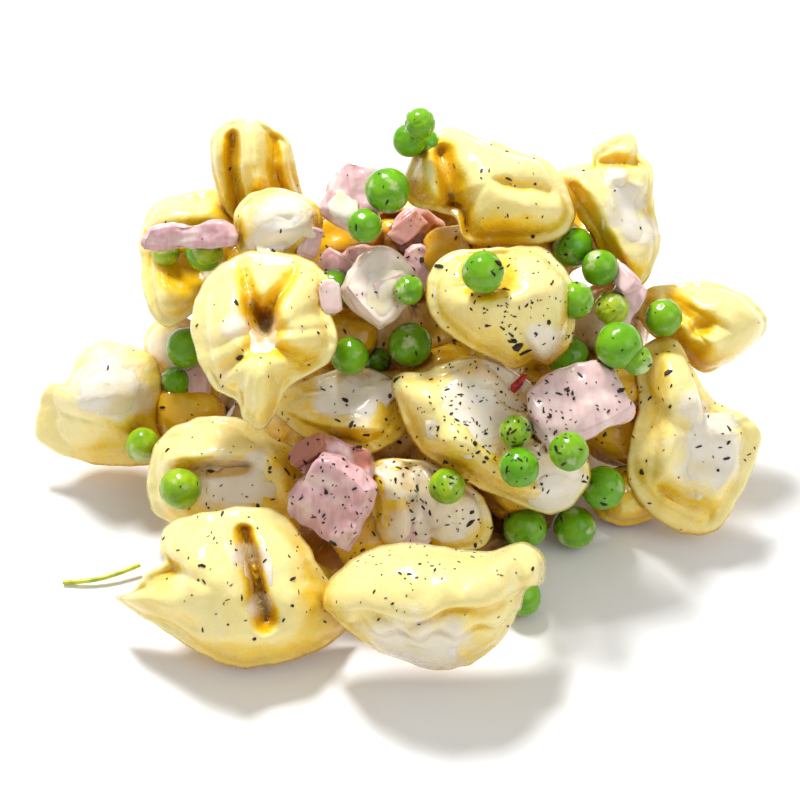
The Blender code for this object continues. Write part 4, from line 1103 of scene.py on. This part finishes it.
def pool_mesh(right, up, half_wide, half_high, tree):
    """A closed sheet of sauce over an oval of the slope, sunk into the heap at its border."""
    side = np.linspace(-1, 1, POOL_CELLS)
    far = np.full((POOL_CELLS, POOL_CELLS), np.inf)
    ways = np.zeros((POOL_CELLS, POOL_CELLS, 3))
    for i, a in enumerate(side):
        for j, b in enumerate(side):
            aim = LOOK_AT + RIGHT * (right + a * half_wide) * MM + UP_SLOPE * (up + b * half_high) * MM
            ways[i, j] = way = (aim - FROM_EYE).normalized()
            far[i, j] = tree.ray_cast(FROM_EYE, way)[3] or np.inf
    usual = np.median(far)
    missing = (far > usual + DEEPEST * MM) | (far < usual - 2 * DEEPEST * MM)
    far = np.where(missing, usual + DEEPEST * MM, far)
    smooth = blurred(far, BLUR)
    a, b = np.meshgrid(side, side, indexing="ij")
    flat = np.stack([right + a * half_wide, up + b * half_high, 0 * a], -1).reshape(-1, 3)
    ragged = (0.5 * noise_at(flat, 4) + 0.2 * noise_at(flat, 1.6)).reshape(a.shape)
    open_near = blurred(missing.astype(float), EDGE_BLUR)
    lift = np.clip(1.0 - np.hypot(a, b) ** 1.5 + ragged - 3 * open_near, LOWEST, 1)
    sheet = np.where(lift > 0, smooth, far + (smooth - far) * np.clip(1 + lift * 5, 0, 1))
    lift = np.where(lift > 0, np.sqrt(np.clip(lift, 0, 1)) * POOL_LIFT, lift / -LOWEST * POOL_SINK)
    front = np.array(FROM_EYE) + ways * (sheet - lift * MM)[..., None]
    back = np.array(FROM_EYE) + ways * (np.maximum(sheet, far) + (POOL_SINK + 0.4) * MM)[..., None]
    i, j = np.nonzero((lift[:-1, :-1] > -0.98 * POOL_SINK) & ~missing[:-1, :-1] & ~missing[1:, 1:])
    corner = i * POOL_CELLS + j
    quads = np.stack([corner, corner + POOL_CELLS, corner + POOL_CELLS + 1, corner + 1], -1)
    sides = [tuple(face[[k, (k + 1) % 4]]) for face in quads for k in range(4)]
    open_sides = set(sides) - {(q, p) for p, q in sides}
    count = POOL_CELLS ** 2
    walls = [(q, p, p + count, q + count) for p, q in open_sides]
    mesh = mesh_from("pool", np.concatenate([front.reshape(-1, 3), back.reshape(-1, 3)]),
                     quads.tolist() + (quads[:, ::-1] + count).tolist() + walls)
    bm = bmesh.new()
    bm.from_mesh(mesh)
    bmesh.ops.delete(bm, geom=[v for v in bm.verts if not v.link_faces], context="VERTS")
    bmesh.ops.recalc_face_normals(bm, faces=bm.faces)
    bm.to_mesh(mesh)
    bm.free()
    return mesh


heap_tree = tree_of([*pasta.values(), *ham.values(), ham_scraps, pasta_scraps, inside])
pools = [pool_mesh(*pool, heap_tree) for pool in SAUCE_POOLS]
sauce = new_piece("pools_of_sauce", joined(pools), SAUCE, "core")
print("the sauce has", len(sauce.data.polygons), "faces")

# %% [markdown]
# ## Painted shade on what is hidden
#
# How much of the sky a point sees decides how much shade is painted into its colour. Rays shot
# from each vertex in a dozen directions count how many are blocked nearby. The share is stored as the
# attribute hollow, which the materials turn into painted shade. The table blocks rays as well, so the
# undersides get painted shade too.

# %% Hollowness on every vertex
RAYS = 12
REACH = 16 * MM


def sky_directions(count):
    """Directions spread evenly over a hemisphere round +Z, more of them near its top."""
    made = []
    for k in range(count):
        tilt = math.acos(math.sqrt(1 - (k + 0.5) / count))
        made.append(Vector((math.sin(tilt) * math.cos(k * GOLDEN), math.sin(tilt) * math.sin(k * GOLDEN),
                            math.cos(tilt))))
    return made


def store_hollow(made, tree):
    sky = sky_directions(RAYS)
    places, normals = arrays(made.data)
    values = np.zeros(len(places))
    for v, (place, normal) in enumerate(zip(places, normals)):
        normal = Vector(normal)
        turn = Vector((0, 0, 1)).rotation_difference(normal).to_matrix()
        start = Vector(place) + normal * 0.25 * MM
        blocked = 0.0
        for way in sky:
            hit = tree.ray_cast(start, turn @ way, REACH)
            if hit[0] is not None:
                blocked += 1 - 0.5 * hit[3] / REACH
        values[v] = blocked / RAYS
    store(made.data, hollow=values)


points, faces = gathered([*laid, inside])
points = np.concatenate([points, [(-1, -1, 0), (1, -1, 0), (1, 1, 0), (-1, 1, 0)]])
faces.append([len(points) - 4 + k for k in range(4)])
whole_tree = BVHTree.FromPolygons(points.tolist(), faces)
for made in [*laid, inside, sauce]:
    store_hollow(made, whole_tree)
print("stored hollowness on", len(laid) + 2, "pieces")

# %% [markdown]
# ## Ground pepper
#
# Pepper falls from above and stays where it lands. Each grain is a chip of husk: a flat-sided
# polygon, between a third of a millimetre and over a millimetre across. They are joined into one
# mesh. The cook was generous with the middle of the heap, so grains are drawn round a few centres,
# given in millimetres to the right and up the slope as the eye sees them.

# %% Scatter the pepper
PEPPER_CENTRES = [  # right, up the slope, spread (mm), grains
    (18, -4, 11, 300), (22, 17, 9, 110), (4, -20, 10, 150), (-14, -22, 7, 50), (34, -2, 7, 70),
    (58, -10, 12, 80), (18, 40, 11, 70), (-28, -20, 14, 80), (-26, 10, 12, 30), (0, -42, 18, 40),
    (-34, -40, 14, 30), (-6, 20, 14, 60), (0, 0, 45, 160),
]
CHILI_AT = (23, 3)          # mm right and up the slope
CHILI_SIZE = 1.7 * MM
LARGE_FLAKES = [  # right, up, size (mm)
    (-31.4, 8.2, 0.75), (23, 10.4, 1.1), (24.5, 9.5, 0.8), (22, 11.5, 0.7), (9, -12, 0.7), (-21, -35, 0.6),
    (14, -22, 0.6), (36, -16, 0.6), (-37, -14, 0.6), (26, 32, 0.6), (-13, -28, 0.7), (16, 45, 0.5),
]


def chip(place, normal, size):
    """Points and faces of one flat-sided grain lying on a surface."""
    spin = dice.uniform(0, math.tau)
    turn = Vector((0, 0, 1)).rotation_difference(normal).to_matrix()
    corners = dice.choice((5, 6, 7))
    long_, low = dice.uniform(1.0, 2.0), dice.uniform(0.25, 0.5)
    ring, top = [], []
    for c in range(corners):
        a = math.tau * c / corners + dice.uniform(-0.3, 0.3)
        r = size * dice.uniform(0.7, 1.15)
        flat = Matrix.Rotation(spin, 3, "Z") @ Vector((math.cos(a) * r * long_, math.sin(a) * r / long_, 0))
        ring.append(place + turn @ (flat - Vector((0, 0, size * 0.25))))
        top.append(place + turn @ (flat * dice.uniform(0.6, 0.9) + Vector((0, 0, size * low))))
    sides = [(c, (c + 1) % corners, corners + (c + 1) % corners, corners + c) for c in range(corners)]
    return ring + top, sides + [tuple(range(corners, 2 * corners)), tuple(reversed(range(corners)))]


def scatter_pepper():
    points, faces, grains = [], [], 0
    for right, up, spread_mm, number in PEPPER_CENTRES:
        for _ in range(number):
            place, normal = seen_at(dice.gauss(right, spread_mm), dice.gauss(up, spread_mm), shown_tree)
            if place is None or place.z < 2 * MM or normal.z < 0.05:
                continue
            size = min(0.75, 0.17 * math.exp(abs(dice.gauss(0, 0.55)))) * MM
            corners, sides = chip(place, normal, size)
            faces += [[v + len(points) for v in side] for side in sides]
            points += corners
            grains += 1
    for right, up, size in LARGE_FLAKES:
        place, normal = seen_at(right, up, shown_tree)
        corners, sides = chip(place, normal, size * MM)
        faces += [[v + len(points) for v in side] for side in sides]
        points += corners
    mesh = mesh_from("ground_pepper", [tuple(p) for p in points], faces)
    made = new_piece("ground_pepper", mesh, PEPPER, "core")
    mesh.shade_flat()
    return made, grains


shown_tree = tree_of([*laid, inside, sauce])
pepper, grains = scatter_pepper()
place, normal = seen_at(*CHILI_AT, shown_tree)
corners, sides = chip(place, normal, CHILI_SIZE)
flake = new_piece("chili_flake", mesh_from("chili_flake", [tuple(p) for p in corners], sides), CHILI, "core")
print(grains, "grains of pepper")

# %% [markdown]
# ## The herb stem
#
# The stem is the frame's own thin tube. Its shape is right, so it keeps its mesh and only gets its
# material.

# %% Stem
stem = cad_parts["herb_stem"]
stem.data.materials.clear()
stem.data.materials.append(STEM)
stem.data.shade_smooth()
print("stem has", len(stem.data.polygons), "faces")

# %% [markdown]
# ## Table and light
#
# A plain white table and a bright room: a small strong light above and behind and a little to the
# left, whose reflection makes the wet glints, a large weak one from the front right, and a white sky
# that fills the shadows.

# %% Table
bpy.ops.mesh.primitive_plane_add(size=3, location=(0, 0, 0))
table = bpy.context.object
table.name = "table"
white, tree, out = new_material("white table")
speck = add(tree, "TexNoise", {"Scale": per(4), "Detail": 2.0}).outputs["Fac"]
tone = mixed(tree, speck, rgb("F4F4F4"), rgb("F8F8F8"))
tree.links.new(add(tree, "BsdfPrincipled", {"Base Color": tone, "Roughness": 0.6}).outputs[0], out.inputs[0])
table.data.materials.append(white)
table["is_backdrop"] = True
print("table laid")


# %% Lights
def soft_light(name, place, size, watts):
    """A square light that looks at the heap."""
    light = bpy.data.lights.new(name, "AREA")
    light.shape = "SQUARE"
    light.size = size
    light.energy = watts
    made = bpy.data.objects.new(name, light)
    made.location = place
    made.rotation_euler = (LOOK_AT - Vector(place)).to_track_quat("-Z", "Y").to_euler()
    bpy.context.scene.collection.objects.link(made)
    return made


soft_light("window", (-0.12, 0.26, 0.55), 0.13, 4.4)
soft_light("room", (0.45, -0.32, 0.5), 0.5, 1.1)
world = bpy.data.worlds.new("bright room")
bpy.context.scene.world = world
world.use_nodes = True
world.node_tree.nodes["Background"].inputs["Color"].default_value = rgb("FFFFFF")
world.node_tree.nodes["Background"].inputs["Strength"].default_value = 0.5
bpy.context.scene.view_settings.view_transform = "Standard"
bpy.context.scene.cycles.max_bounces = 5
print("lights set")

# %% [markdown]
# ## Close
#
# The finished heap's box is printed. The pieces may stand a hair outside the solids, and no
# more.

# %% Sizes and finish
low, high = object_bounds()
print("visual model measures", [round(v / MM, 1) for v in high - low], "mm")
